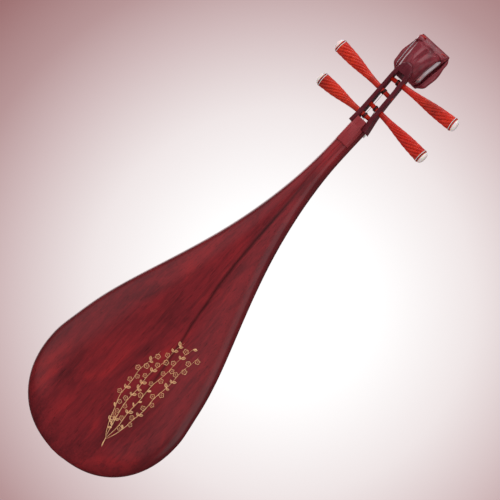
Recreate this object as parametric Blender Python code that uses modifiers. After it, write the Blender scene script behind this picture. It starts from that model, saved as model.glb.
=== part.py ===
"""A pipa: a four-stringed Chinese lute with a carved back shell, 6 wedge frets, 24 bamboo frets and 4 pegs.

Metres, +Z from the tail to the head. The soundboard lies in the plane Y = 0 and faces -Y, and the carved
back faces +Y. The origin is the middle of the small flat at the tail, on the soundboard's plane.
"""

import math

import bmesh
import bpy
import numpy as np
from mathutils import Matrix, Vector

# Whole instrument
NECK_TOP = 0.798
STRING_LENGTH = 0.720
GAP = 0.0003
MERGE = 0.00005

# Body outline: a round tail up to the widest place, then a smooth taper into the neck
BODY_WIDTH = 0.307
WIDEST_AT = 0.157
TAIL_ROUNDNESS = 2.2
TAIL_FLAT = 0.015
TAPER = (
    (0.157, 0.1535), (0.200, 0.1478), (0.250, 0.1377), (0.350, 0.1060), (0.440, 0.0737),
    (0.520, 0.0490), (0.600, 0.0310), (0.680, 0.0200), (0.715, 0.0177), (0.757, 0.0170), (0.798, 0.0170),
)
TAIL_DEPTH, TAIL_REACH, TAIL_CURVE = 0.020, 0.080, 2.2
DEPTH = (
    (TAIL_REACH, 0.0425), (0.180, 0.0470), (0.330, 0.0440), (0.470, 0.0385), (0.612, 0.0345),
    (0.757, 0.0330), (0.798, 0.0330),
)
SIDE_FULLNESS = 2.8
BACK_FULLNESS = 2.2
RIDGE_HEIGHT = 0.0035
RIDGE_FROM, RIDGE_TO = 0.22, 0.57

# Hollow and soundboard
WALL_SIDE = 0.012
WALL_BACK = 0.007
HOLLOW_TOP = 0.503
RIM = 0.004
BOARD_THICKNESS = 0.005
BOARD_TOP = 0.539
SOUND_HOLE = (0.057, 0.006)
BRACES = (("lower_brace", 0.110), ("middle_brace", 0.250), ("upper_brace", 0.385))
BRACE_WIDTH, BRACE_DEPTH, BRACE_END = 0.008, 0.014, 0.004
POSTS = ((-0.055, 0.236), (0.055, 0.236), (0.0, 0.371))
POST_RADIUS = 0.004

# Pegbox and head
LEAN = math.radians(16.0)
PEGBOX_CENTRE = 0.0155
PEGBOX = (
    # height, half-width, front and back of the centre line
    (0.7983, 0.0200, -0.0335, 0.0150), (0.8080, 0.0190, -0.0325, 0.0150), (0.8250, 0.0174, -0.0265, 0.0149),
    (0.8430, 0.0168, -0.0175, 0.0147), (0.8630, 0.0163, -0.0152, 0.0144), (0.9110, 0.0157, -0.0145, 0.0135),
    (0.9250, 0.0147, -0.0140, 0.0125), (0.9350, 0.0117, -0.0135, 0.0105), (0.9420, 0.0069, -0.0120, 0.0075),
    (0.9450, 0.0030, -0.0090, 0.0030),
)
HEAD_MEETS_PEGBOX = 4
PEGBOX_CHAMFER = 0.0020
SLOT_HALF, SLOT_FROM, SLOT_TO = 0.0095, 0.8085, 0.9125
RECESS_HALF, RECESS_FLOOR, RECESS_TO = 0.0075, 0.0535, 0.9210
THROAT = (
    # height, half-width, floor: where the strings run down from the nut into the slot
    (0.7975, 0.0138, -0.0190), (0.8085, 0.0132, -0.0025), (0.8250, 0.0115, 0.0240), (0.8450, 0.0095, 0.0300),
)
HEAD = (
    # height, leaf half-width, leaf back, leaf edge, core half-width, core back, core front, side hollows
    (0.9190, 0.0225, 0.0360, 0.0150, 0.0265, 0.0030, -0.008, 0.2),
    (0.9270, 0.0262, 0.0460, 0.0170, 0.0345, 0.0060, -0.018, 0.8),
    (0.9390, 0.0284, 0.0535, 0.0195, 0.0392, 0.0060, -0.029, 1.0),
    (0.9530, 0.0294, 0.0540, 0.0201, 0.0412, 0.0040, -0.034, 1.0),
    (0.9680, 0.0308, 0.0465, 0.0165, 0.0404, -0.0010, -0.033, 1.0),
    (0.9830, 0.0322, 0.0335, 0.0110, 0.0378, -0.0060, -0.028, 0.5),
    (0.9950, 0.0338, 0.0150, 0.0020, 0.0357, -0.0110, -0.022, 0.1),
    (1.0030, 0.0335, 0.0010, -0.0060, 0.0312, -0.0130, -0.019, 0.1),
)
LEAF_EDGE = 0.0045
LEAF_GROOVE = 0.0022
HOLLOW_REACH = 0.011
HOLLOW_INNER = 0.019
CREST_OUT = 0.0025
LEAF_FULLNESS = 0.72

# Block on the back of the neck
BLOCK_FROM, BLOCK_SEAT, BLOCK_BACK = 0.757, 0.020, 0.0385
BLOCK_BASE_HALF, BLOCK_BACK_HALF = 0.0142, 0.0108
BLOCK_TONGUE_HALF, BLOCK_TONGUE_TOP = 0.0105, 0.814

# Pegs: number, side of the handle, height, lean towards the head, handle length
PEGS = (
    (1, 1, 0.8225, math.radians(-2.4), 0.089), (2, -1, 0.8440, math.radians(-3.7), 0.107),
    (3, 1, 0.8760, math.radians(4.0), 0.103), (4, -1, 0.9040, math.radians(5.5), 0.114),
)
SHAFT_END, SHAFT_END_RADIUS = -0.0163, 0.0041
SHOULDER, SHOULDER_RADIUS = 0.0178, 0.0049
HANDLE_RADIUS = 0.0132
# handle profile: share of its length, radius
HANDLE_FLARE = ((0.86, 0.0129), (0.68, 0.0121), (0.50, 0.0103), (0.32, 0.0079), (0.15, 0.0061), (0.0, 0.0055))
BORE_PLAY, BORE_REACH = 0.0004, 0.030
CAP_LENGTH, CAP_RADIUS = 0.0065, 0.0118
WINDING_AT = {1: 0.0035, 2: 0.0035, 3: 0.0045, 4: 0.0045}
WINDING_LENGTH, WINDING_THICKNESS = 0.0055, 0.0014
SIDES = 24

# Nut, string holder and strings
NUT_FROM, NUT_TO, NUT_HEIGHT, NUT_HALF = 0.7915, 0.7975, 0.0215, 0.0160
HOLDER_FROM, HOLDER_TO, HOLDER_HEIGHT = 0.046, 0.068, 0.0120
FACING_FROM, FACING_TO, FACING_HEIGHT, FACING_HALF = 0.0683, 0.0745, 0.0165, 0.024
STRING_HOLE = 0.0013
HOLDER_STRING_HEIGHT = 0.0125
# string number: place across the nut, place across the holder, radius
STRINGS = {
    1: (0.00375, 0.0055, 0.00040), 2: (-0.00375, -0.0055, 0.00050),
    3: (0.01125, 0.0165, 0.00035), 4: (-0.01125, -0.0165, 0.00065),
}

# Frets: semitones above the open string
WEDGE_SEMITONES = range(2, 8)
BAMBOO_SEMITONES = range(8, 32)
ACTION_TOP, ACTION_TAIL = 0.0012, 0.0034
WEDGE_REACH, WEDGE_SHARE, WEDGE_FOOT = 0.0135, 0.46, 0.003
WEDGE_WIDTH, WEDGE_GROWTH = 0.0265, 0.0012
BAMBOO_WIDTH, BAMBOO_GROWTH = 0.036, 0.0005


def clear_scene():
    for item in list(bpy.data.objects):
        bpy.data.objects.remove(item, do_unlink=True)


def collection(name, rendered=True):
    made = bpy.data.collections.new(name)
    bpy.context.scene.collection.children.link(made)
    made.hide_render = not rendered
    return made


def finish_of(name, colour, roughness, metallic=0.0):
    made = bpy.data.materials.new(name)
    made.use_nodes = True
    shader = made.node_tree.nodes["Principled BSDF"]
    shader.inputs["Base Color"].default_value = (*colour, 1.0)
    shader.inputs["Roughness"].default_value = roughness
    shader.inputs["Metallic"].default_value = metallic
    made.diffuse_color = (*colour, 1.0)
    return made


clear_scene()
PIPA = collection("pipa")
CUTTERS = collection("cutters", rendered=False)


def smooth_through(knots):
    """A cubic spline through (place, value) knots, level at both ends."""
    places = np.array([k[0] for k in knots])
    values = np.array([k[1] for k in knots])
    steps = np.diff(places)
    rises = np.diff(values) / steps
    count = len(knots)
    system = np.zeros((count, count))
    right = np.zeros(count)
    system[0, 0] = system[-1, -1] = 1.0
    for i in range(1, count - 1):
        system[i, i - 1] = steps[i]
        system[i, i] = 2 * (steps[i - 1] + steps[i])
        system[i, i + 1] = steps[i - 1]
        right[i] = 3 * (steps[i] * rises[i - 1] + steps[i - 1] * rises[i])
    slopes = np.linalg.solve(system, right)

    def value(place):
        i = int(np.clip(np.searchsorted(places, place) - 1, 0, count - 2))
        t = (place - places[i]) / steps[i]
        a = (2 * t + 1) * (1 - t) ** 2 * values[i] + t * (1 - t) ** 2 * steps[i] * slopes[i]
        b = t * t * (3 - 2 * t) * values[i + 1] + t * t * (t - 1) * steps[i] * slopes[i + 1]
        return float(a + b)

    return value


taper_at = smooth_through(TAPER)
deep_at = smooth_through(DEPTH)


def half_width(height, inset=0.0):
    """Half the outline's width at a height, for the outline moved in by an inset."""
    if height >= WIDEST_AT:
        return taper_at(height) - inset
    reach = (WIDEST_AT - height) / (WIDEST_AT - inset)
    if reach >= 1:
        return TAIL_FLAT
    oval = (BODY_WIDTH / 2 - inset) * (1 - reach**TAIL_ROUNDNESS) ** (1 / TAIL_ROUNDNESS)
    return max(TAIL_FLAT, oval)


def depth(height):
    """How far the middle of the back stands from the soundboard's plane."""
    if height >= TAIL_REACH:
        return deep_at(height)
    share = (TAIL_REACH - height) / TAIL_REACH
    return TAIL_DEPTH + (DEPTH[0][1] - TAIL_DEPTH) * math.sqrt(max(0.0, 1 - share**TAIL_CURVE))


def ridge(height):
    """Height of the crease that runs down the back of the neck and fades out on the body."""
    t = min(1.0, max(0.0, (height - RIDGE_FROM) / (RIDGE_TO - RIDGE_FROM)))
    return RIDGE_HEIGHT * t * t * (3 - 2 * t)


def back_arc(height, count, inset=0.0, wall=0.0):
    """Points of one cross-section of the back, from one edge over the middle to the other."""
    wide = half_width(height, inset)
    deep = depth(height) - wall
    peak = 0.0 if wall else ridge(height)
    points = []
    for i in range(count):
        angle = math.pi * i / (count - 1)
        across = abs(math.cos(angle)) ** (2 / SIDE_FULLNESS)
        x = math.copysign(across, math.cos(angle)) * wide
        y = deep * math.sin(angle) ** (2 / BACK_FULLNESS) if 0 < i < count - 1 else 0.0
        points.append((x, y + peak * (1 - across) * min(1.0, y / deep * 2)))
    return points


def heights_between(low, high, count, bunch=1.0):
    """Heights from low to high. A bunch over 1 packs them towards low."""
    return [low + (high - low) * (i / (count - 1)) ** bunch for i in range(count)]


def add(name, mesh_data, finish, smooth_angle=None, group=None):
    made = bpy.data.objects.new(name, mesh_data)
    (group or PIPA).objects.link(made)
    if finish:
        mesh_data.materials.clear()
        mesh_data.materials.append(finish)
    if smooth_angle is not None:
        mesh_data.shade_smooth()
        mesh_data.set_sharp_from_angle(angle=smooth_angle)
    return made


def to_mesh(name, shape):
    data = bpy.data.meshes.new(name)
    bmesh.ops.recalc_face_normals(shape, faces=shape.faces)
    shape.to_mesh(data)
    shape.free()
    return data


def loft(name, rings, finish, smooth_angle=math.radians(35), group=None):
    """A closed solid through rings of the same number of points, with a flat cap on each end."""
    shape = bmesh.new()
    rows = [[shape.verts.new(point) for point in ring] for ring in rings]
    for low, high in zip(rows, rows[1:]):
        for i in range(len(low)):
            j = (i + 1) % len(low)
            shape.faces.new((low[i], low[j], high[j], high[i]))
    shape.faces.new(rows[0])
    shape.faces.new(rows[-1])
    return add(name, to_mesh(name, shape), finish, smooth_angle, group)


def box(name, low, high, finish, bevel=0.0, group=None):
    shape = bmesh.new()
    bmesh.ops.create_cube(shape, size=1.0)
    size = Vector(high) - Vector(low)
    middle = (Vector(high) + Vector(low)) / 2
    bmesh.ops.scale(shape, vec=size, verts=shape.verts)
    bmesh.ops.translate(shape, vec=middle, verts=shape.verts)
    made = add(name, to_mesh(name, shape), finish, None, group)
    if bevel:
        soften(made, bevel)
    return made


def soften(made, width, segments=2):
    bevel = made.modifiers.new("rounded_edges", "BEVEL")
    bevel.width = width
    bevel.segments = segments
    bevel.limit_method = "ANGLE"
    bevel.angle_limit = math.radians(40)


def cone(name, matrix, low, high, low_radius, high_radius, sides, finish, group=None):
    """A straight or tapered rod along the local Z of a matrix."""
    shape = bmesh.new()
    bmesh.ops.create_cone(
        shape, cap_ends=True, segments=sides, radius1=low_radius, radius2=high_radius, depth=high - low
    )
    bmesh.ops.translate(shape, vec=(0, 0, (low + high) / 2), verts=shape.verts)
    made = add(name, to_mesh(name, shape), finish, math.radians(40), group)
    made.matrix_world = matrix
    return made


def cut(made, cutter):
    cutter.hide_render = True
    cutter.display_type = "WIRE"
    modifier = made.modifiers.new(cutter.name, "BOOLEAN")
    modifier.operation = "DIFFERENCE"
    modifier.object = cutter


# Turns of a flat outline: its local X, Y and thickness directions in the instrument's frame
FACE_ON = Matrix(((1, 0, 0), (0, 0, -1), (0, 1, 0))).to_4x4()
SIDE_ON = Matrix(((0, 0, 1), (1, 0, 0), (0, 1, 0))).to_4x4()
END_ON = Matrix.Identity(4)


def plate(name, outline, thickness, turn, middle, finish, group=None):
    """A flat outline of the given thickness, turned to its plane and centred on middle."""
    drawing = bpy.data.curves.new(name, "CURVE")
    drawing.dimensions = "2D"
    drawing.fill_mode = "BOTH"
    drawing.extrude = thickness / 2
    line = drawing.splines.new("POLY")
    line.points.add(len(outline) - 1)
    for point, (x, y) in zip(line.points, outline):
        point.co = (x, y, 0, 1)
    line.use_cyclic_u = True
    drawn = bpy.data.objects.new(name, drawing)
    PIPA.objects.link(drawn)
    bpy.context.view_layer.update()
    data = bpy.data.meshes.new_from_object(drawn.evaluated_get(bpy.context.evaluated_depsgraph_get()))
    bpy.data.objects.remove(drawn)
    shape = bmesh.new()
    shape.from_mesh(data)
    bmesh.ops.remove_doubles(shape, verts=shape.verts, dist=MERGE / 5)
    made = add(name, to_mesh(name, shape), finish, None, group)
    made.matrix_world = Matrix.Translation(middle) @ turn
    return made


def turned(name, profile, matrix, finish, sides=SIDES):
    """A solid of revolution about the local Z. The profile runs down its outer side."""
    shape = bmesh.new()
    row = [shape.verts.new((radius, 0, along)) for radius, along in profile]
    for upper, lower in zip(row, row[1:]):
        shape.edges.new((upper, lower))
    data = bpy.data.meshes.new(name)
    shape.to_mesh(data)
    shape.free()
    made = add(name, data, finish)
    screw = made.modifiers.new("turned", "SCREW")
    screw.steps = sides
    screw.render_steps = sides
    screw.use_merge_vertices = True
    screw.merge_threshold = MERGE
    screw.use_smooth_shade = True
    made.matrix_world = matrix
    return made


def mirrored_outline(right_side):
    """A closed outline from its right side, listed upwards."""
    return right_side + [(-x, z) for x, z in reversed(right_side)]


# The carved back


def back_shell(finish):
    low = heights_between(0.0, WIDEST_AT, 11, bunch=2.0)
    high = heights_between(WIDEST_AT, BLOCK_FROM, 17)[1:]
    rings = []
    for height in [*low, *high, NECK_TOP]:
        rings.append([(x, y, height) for x, y in back_arc(height, 25)])
    shell = loft("back_shell", rings, finish)
    rim = [(half_width(z, RIM - GAP), z) for z in board_heights(RIM - GAP, BOARD_TOP + GAP)]
    deep = 2 * (BOARD_THICKNESS + GAP)
    cut(shell, plate("soundboard_recess", mirrored_outline(rim), deep, FACE_ON, (0, 0, 0), None, CUTTERS))
    cut(shell, hollow_cutter())
    seat = ((-0.03, BLOCK_SEAT, BLOCK_FROM), (0.03, 0.06, NECK_TOP + 0.01))
    cut(shell, box("neck_block_seat", *seat, None, group=CUTTERS))


def hollow_cutter():
    low = heights_between(WALL_SIDE + 0.002, WIDEST_AT, 7, bunch=1.6)
    high = heights_between(WIDEST_AT, HOLLOW_TOP, 9)[1:]
    rings = []
    for height in [*low, *high]:
        arc = back_arc(height, 17, inset=WALL_SIDE, wall=WALL_BACK)
        wide = arc[0][0]
        rings.append([(x, y, height) for x, y in arc] + [(-wide, -0.01, height), (wide, -0.01, height)])
    return loft("hollow", rings, None, group=CUTTERS)


def board_heights(low, high):
    return heights_between(low, WIDEST_AT, 11, bunch=2.0) + heights_between(WIDEST_AT, high, 12)[1:]


def soundboard(finish):
    side = [(half_width(z, RIM), z) for z in board_heights(RIM, BOARD_TOP)]
    board = plate(
        "soundboard",
        mirrored_outline(side),
        BOARD_THICKNESS,
        FACE_ON,
        (0, BOARD_THICKNESS / 2, 0),
        finish,
    )
    height, radius = SOUND_HOLE
    through = Matrix.Translation((0, 0, height)) @ Matrix.Rotation(math.radians(-90), 4, "X")
    cut(board, cone("sound_hole", through, -0.01, 0.02, radius, radius, 16, None, CUTTERS))


def brace(name, height, finish):
    """A bar glued under the soundboard, thinned towards its ends."""
    reach = half_width(height, WALL_SIDE) - 0.006
    thin = reach - 0.045
    top = BOARD_THICKNESS + GAP
    outline = [
        (-reach, top), (reach, top), (reach, top + BRACE_END),
        (thin, top + BRACE_DEPTH), (-thin, top + BRACE_DEPTH), (-reach, top + BRACE_END),
    ]
    made = plate(name, outline, BRACE_WIDTH, END_ON, (0, 0, height), finish)
    soften(made, 0.0008, 1)


def hollow_depth(x, height):
    """Where the inside of the back lies behind a point of the soundboard."""
    wide = half_width(height, WALL_SIDE)
    across = min(1.0, abs(x) / wide)
    sine = math.sqrt(1 - across**SIDE_FULLNESS)
    return (depth(height) - WALL_BACK) * sine ** (2 / BACK_FULLNESS)


def sound_post(number, x, height, finish):
    """A dowel that stands between the soundboard and the back."""
    sides = (-POST_RADIUS, POST_RADIUS)
    corners = [(x + dx, height + dz) for dx in sides for dz in sides]
    reach = min(hollow_depth(*corner) for corner in corners) - 2 * GAP
    along = Matrix.Translation((x, 0, height)) @ Matrix.Rotation(math.radians(-90), 4, "X")
    cone(f"sound_post_{number}", along, BOARD_THICKNESS + GAP, reach, POST_RADIUS, POST_RADIUS, 16, finish)


def neck_block(finish):
    """The raised block behind the top of the neck, with a tongue between the pegbox cheeks."""
    low = BLOCK_SEAT + GAP

    def section(height, base, back):
        shoulder = (base * 0.93, low + 0.35 * (BLOCK_BACK - low))
        half = [(base, low), shoulder, (back, BLOCK_BACK)]
        return [(x, y, height) for x, y in half] + [(-x, y, height) for x, y in reversed(half)]

    rings = [
        section(BLOCK_FROM + GAP, BLOCK_BASE_HALF, BLOCK_BACK_HALF),
        section(NECK_TOP - GAP, BLOCK_BASE_HALF, BLOCK_BACK_HALF),
        section(NECK_TOP, BLOCK_TONGUE_HALF, BLOCK_TONGUE_HALF - 0.0006),
        section(BLOCK_TONGUE_TOP, BLOCK_TONGUE_HALF, BLOCK_TONGUE_HALF - 0.0006),
    ]
    loft("neck_block", rings, finish)


# Pegbox and head


def pegbox_centre(height):
    """Y of the pegbox's centre line, which leans back from the top of the neck."""
    return PEGBOX_CENTRE + math.tan(LEAN) * (height - NECK_TOP)


def pegbox_ring(height, half, front, back, grow=0.0):
    middle = pegbox_centre(height)
    chamfer = min(PEGBOX_CHAMFER, half / 2)
    wide = half + grow
    near, far = middle + front - grow, middle + back + grow
    side = [(wide - chamfer, near), (wide, near + chamfer), (wide, far - chamfer), (wide - chamfer, far)]
    return [(x, y, height) for x, y in side] + [(-x, y, height) for x, y in reversed(side)]


def pegbox(finish):
    made = loft("pegbox", [pegbox_ring(*station) for station in PEGBOX], finish)
    throat = [[(-x, -0.05, z), (x, -0.05, z), (x, floor, z), (-x, floor, z)] for z, x, floor in THROAT]
    cut(made, loft("string_throat", throat, None, group=CUTTERS))
    tongue = BLOCK_TONGUE_HALF + GAP
    socket = ((-tongue, BLOCK_SEAT, NECK_TOP - 0.01), (tongue, 0.08, BLOCK_TONGUE_TOP + GAP))
    cut(made, box("tongue_socket", *socket, None, group=CUTTERS))
    cut(made, box("slot", (-SLOT_HALF, -0.02, SLOT_FROM), (SLOT_HALF, 0.12, SLOT_TO), None, group=CUTTERS))
    recess = ((-RECESS_HALF, RECESS_FLOOR, SLOT_TO - 0.001), (RECESS_HALF, 0.12, RECESS_TO))
    cut(made, box("slot_end_recess", *recess, None, group=CUTTERS))
    for number, *_ in PEGS:
        place = peg_matrix(number)
        ends = [shaft_radius(along) + BORE_PLAY for along in (-BORE_REACH, BORE_REACH)]
        cut(made, cone(f"peg_bore_{number}", place, -BORE_REACH, BORE_REACH, *ends, SIDES, None, CUTTERS))


def head_ring(height, leaf_half, leaf_back, leaf_edge, core_half, core_back, core_front, hollow):
    """One level of the head: a leaf with a grooved back, a hollow below each edge, and a full core."""
    ring = []
    for i in range(15):
        across = math.cos(math.pi * i / 14)
        groove = LEAF_GROOVE * math.exp(-((across * leaf_half / 0.0045) ** 2))
        swell = (leaf_back - leaf_edge) * (1 - across * across) ** LEAF_FULLNESS
        ring.append((across * leaf_half, leaf_edge + swell - groove))
    under = leaf_edge - LEAF_EDGE
    thick = core_back - core_front
    inner = max(HOLLOW_INNER, leaf_half - 0.002 - HOLLOW_REACH * hollow)
    crest = max(min(leaf_half + CREST_OUT, core_half - 0.004), inner + 0.002)
    floor = core_back - min(0.004 + 0.008 * hollow, 0.45 * thick)
    widest = core_back - min(0.011, 0.35 * thick)
    side = [(leaf_half - 0.0012, under), (inner, under - 0.002), (inner, floor)]
    side += [(max(inner + 0.001, crest - 0.0035), floor + 0.001), (crest, core_back)]
    for i in range(1, 3):
        angle = math.radians(30 * i)
        x = crest + (core_half - crest) * math.sin(angle)
        side.append((x, widest + (core_back - widest) * math.cos(angle)))
    front = []
    for i in range(11):
        angle = math.pi * i / 10
        front.append((core_half * math.cos(angle), widest - (widest - core_front) * math.sin(angle)))
    ring += [(-x, y) for x, y in side] + [(-x, y) for x, y in front] + list(reversed(side))
    return [(x, y, height) for x, y in ring]


def head(finish):
    made = loft("head", [head_ring(*station) for station in HEAD], finish)
    rings = [pegbox_ring(*station, grow=GAP) for station in PEGBOX[HEAD_MEETS_PEGBOX:-1]]
    cut(made, loft("head_socket", [*rings, cap_ring()], None, group=CUTTERS))


def cap_ring():
    height, half, front, back = PEGBOX[-1]
    return pegbox_ring(height + 2 * GAP, half, front, back, grow=GAP)


# Pegs


def shaft_radius(along):
    """Radius of the tapered shaft at a distance from the pegbox's middle."""
    share = (along - SHAFT_END) / (SHOULDER - SHAFT_END)
    return SHAFT_END_RADIUS + (SHOULDER_RADIUS - SHAFT_END_RADIUS) * share


def peg_matrix(number):
    """The peg's place: its origin on the pegbox's centre line, its local Z towards the handle's end."""
    _, side, height, fan, _ = PEGS[number - 1]
    up = Vector((0, math.sin(LEAN), math.cos(LEAN)))
    along = (Vector((side, 0, 0)) * math.cos(fan) + up * math.sin(fan)).normalized()
    across = up.cross(along).normalized()
    turn = Matrix((across, along.cross(across), along)).transposed().to_4x4()
    return Matrix.Translation((0, pegbox_centre(height), height)) @ turn


def peg(number, length, finish):
    end = SHOULDER + length
    profile = [(0, end), (HANDLE_RADIUS - 0.0008, end), (HANDLE_RADIUS, end - 0.004)]
    for share, radius in HANDLE_FLARE:
        profile.append((radius, SHOULDER + 0.001 + (length - 0.005) * share))
    profile += [(SHOULDER_RADIUS, SHOULDER), (SHAFT_END_RADIUS, SHAFT_END), (0, SHAFT_END)]
    turned(f"peg_{number}", profile, peg_matrix(number), finish)


def peg_cap(number, length, finish):
    base = SHOULDER + length + GAP
    profile = [(0, base + CAP_LENGTH)]
    for degrees in (65, 40, 15):
        angle = math.radians(degrees)
        profile.append((CAP_RADIUS * math.cos(angle), base + 0.001 + (CAP_LENGTH - 0.001) * math.sin(angle)))
    profile += [(CAP_RADIUS, base), (0, base)]
    turned(f"peg_cap_{number}", profile, peg_matrix(number), finish)


def winding_span(number):
    middle = WINDING_AT[number]
    inner = shaft_radius(middle + WINDING_LENGTH) + GAP
    return middle - WINDING_LENGTH / 2, middle + WINDING_LENGTH / 2, inner, inner + WINDING_THICKNESS


def winding(number, finish):
    """The turns of string on a peg, as one sleeve."""
    low, high, inner, outer = winding_span(number)
    profile = [(inner, high), (outer, high), (outer, low), (inner, low), (inner, high)]
    turned(f"string_winding_{number}", profile, peg_matrix(number), finish, sides=20)


# Strings and what carries them


def nut(finish):
    soften(box("nut", (-NUT_HALF, -NUT_HEIGHT, NUT_FROM), (NUT_HALF, -GAP, NUT_TO), finish), 0.0007, 1)


def string_holder(finish):
    right = [
        (0.054, HOLDER_FROM), (0.057, 0.0495), (0.0545, 0.0545), (0.049, 0.0580), (0.043, 0.0625),
        (0.038, 0.0665), (0.0345, HOLDER_TO),
    ]
    middle = (0, -GAP - (HOLDER_HEIGHT - GAP) / 2, 0)
    made = plate("string_holder", mirrored_outline(right), HOLDER_HEIGHT - GAP, FACE_ON, middle, finish)
    soften(made, 0.0012, 2)


def holder_facing(finish):
    low = (-FACING_HALF, -FACING_HEIGHT, FACING_FROM)
    made = box("holder_facing", low, (FACING_HALF, -GAP, FACING_TO), finish)
    for number, (_, x, _) in STRINGS.items():
        place = Matrix.Translation((x, -HOLDER_STRING_HEIGHT, FACING_FROM))
        hole = cone(
            f"string_hole_{number}", place, -0.005, 0.015, STRING_HOLE, STRING_HOLE, 10, None, CUTTERS
        )
        cut(made, hole)


def string_at_nut(number):
    return NUT_HEIGHT + STRINGS[number][2] + GAP


def winding_touch(number, start):
    """Where a string that comes from start meets the front of its winding."""
    low, high, _, outer = winding_span(number)
    middle = peg_matrix(number) @ Vector((0, 0, (low + high) / 2))
    reach = outer + STRINGS[number][2] + GAP
    towards = Vector((middle.y - start.y, middle.z - start.z))
    angle = math.asin(reach / towards.length)
    run = math.sqrt(towards.length_squared - reach**2)
    direction = towards.normalized()
    turned_y = direction.x * math.cos(angle) - direction.y * math.sin(angle)
    turned_z = direction.x * math.sin(angle) + direction.y * math.cos(angle)
    return Vector((middle.x, start.y + turned_y * run, start.z + turned_z * run))


def string(number, finish):
    nut_x, holder_x, radius = STRINGS[number]
    lift = string_at_nut(number)
    bend = Vector((nut_x, -lift, NUT_TO + 0.0008))
    route = [
        Vector((holder_x, -HOLDER_STRING_HEIGHT, FACING_FROM + 0.001)),
        Vector((nut_x, -lift, NUT_FROM)),
        bend,
        winding_touch(number, bend),
    ]
    wire = bpy.data.curves.new(f"string_{number}", "CURVE")
    wire.dimensions = "3D"
    wire.bevel_depth = radius
    wire.bevel_resolution = 2
    wire.use_fill_caps = True
    line = wire.splines.new("POLY")
    line.points.add(len(route) - 1)
    for point, place in zip(line.points, route):
        point.co = (*place, 1)
    wire.materials.append(finish)
    PIPA.objects.link(bpy.data.objects.new(f"string_{number}", wire))


# Frets


def fret_height(semitones):
    return (NUT_FROM + NUT_TO) / 2 - STRING_LENGTH * (1 - 2 ** (-semitones / 12))


def fret_lift(height):
    """How far a fret's top stands above the soundboard's plane, just under the strings."""
    share = (height - FACING_TO) / (NUT_FROM - FACING_TO)
    strings = HOLDER_STRING_HEIGHT + (NUT_HEIGHT - HOLDER_STRING_HEIGHT) * share
    action = ACTION_TAIL + (ACTION_TOP - ACTION_TAIL) * share
    return strings - action - STRINGS[4][2]


def wedge_fret(number, semitones, finish):
    """A wide fret on the neck: two unequal slopes that meet in a narrow crest."""
    height = fret_height(semitones)
    lift = fret_lift(height)
    reach = WEDGE_SHARE * (fret_height(semitones - 1) - height)
    reach = min(WEDGE_REACH, reach) if number > 1 else WEDGE_REACH
    outline = [
        (-GAP, height - reach), (-GAP, height + reach), (-WEDGE_FOOT, height + reach),
        (-lift, height + 0.0012), (-lift, height - 0.0008), (-WEDGE_FOOT, height - reach),
    ]
    wide = WEDGE_WIDTH + WEDGE_GROWTH * number
    made = plate(f"wedge_fret_{number}", outline, wide, SIDE_ON, (0, 0, 0), finish)
    soften(made, 0.0007, 1)


def bamboo_fret(number, semitones, finish):
    height = fret_height(semitones)
    lift = fret_lift(height)
    outline = [
        (-GAP, height - 0.0028), (-GAP, height + 0.0028), (-lift + 0.0012, height + 0.0021),
        (-lift, height + 0.0009), (-lift, height - 0.0009), (-lift + 0.0012, height - 0.0021),
    ]
    wide = BAMBOO_WIDTH + BAMBOO_GROWTH * number
    plate(f"bamboo_fret_{number:02d}", outline, wide, SIDE_ON, (0, 0, 0), finish)


def build():
    rosewood = finish_of("lacquered_rosewood", (0.16, 0.016, 0.022), 0.22)
    block_wood = finish_of("neck_block_wood", (0.33, 0.045, 0.050), 0.25)
    peg_wood = finish_of("peg_wood", (0.55, 0.035, 0.015), 0.20)
    paulownia = finish_of("paulownia", (0.66, 0.48, 0.28), 0.55)
    spruce = finish_of("brace_wood", (0.72, 0.55, 0.35), 0.70)
    bamboo = finish_of("bamboo", (0.74, 0.58, 0.33), 0.40)
    horn = finish_of("horn", (0.72, 0.62, 0.44), 0.28)
    bone = finish_of("bone", (0.87, 0.84, 0.76), 0.25)
    wire = finish_of("string_wire", (0.62, 0.60, 0.56), 0.30, 0.9)

    back_shell(rosewood)
    soundboard(paulownia)
    for name, height in BRACES:
        brace(name, height, spruce)
    for number, (x, height) in enumerate(POSTS, 1):
        sound_post(number, x, height, spruce)
    neck_block(block_wood)
    pegbox(rosewood)
    head(rosewood)
    for number, _, _, _, length in PEGS:
        peg(number, length, peg_wood)
        peg_cap(number, length, bone)
        winding(number, wire)
        string(number, wire)
    nut(bone)
    string_holder(rosewood)
    holder_facing(bone)
    for number, semitones in enumerate(WEDGE_SEMITONES, 1):
        wedge_fret(number, semitones, horn)
    for number, semitones in enumerate(BAMBOO_SEMITONES, 1):
        bamboo_fret(number, semitones, bamboo)


build()
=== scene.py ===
"""The pipa's looks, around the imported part.

A lacquered rosewood back, a carved head, twisted pegs, frets and strings, then the stage and the camera.
"""
import math
import random

import bmesh
import bpy
import numpy as np
from mathutils import Matrix, Vector


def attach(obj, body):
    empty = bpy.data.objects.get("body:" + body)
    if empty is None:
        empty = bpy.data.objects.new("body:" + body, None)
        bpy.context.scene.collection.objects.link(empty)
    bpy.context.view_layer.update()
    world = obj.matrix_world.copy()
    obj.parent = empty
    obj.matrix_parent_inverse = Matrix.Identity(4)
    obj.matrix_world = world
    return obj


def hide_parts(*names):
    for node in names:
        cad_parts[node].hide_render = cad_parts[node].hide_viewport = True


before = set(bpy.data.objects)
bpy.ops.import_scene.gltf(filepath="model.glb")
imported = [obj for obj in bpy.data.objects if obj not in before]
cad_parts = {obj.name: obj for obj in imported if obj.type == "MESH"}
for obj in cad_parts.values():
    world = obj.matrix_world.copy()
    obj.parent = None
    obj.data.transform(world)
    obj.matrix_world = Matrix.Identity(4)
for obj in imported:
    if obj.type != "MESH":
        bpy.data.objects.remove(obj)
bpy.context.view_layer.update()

# The instrument's measures, in metres, as the CAD part has them
NECK_TOP = 0.798
GAP = 0.0003
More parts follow.
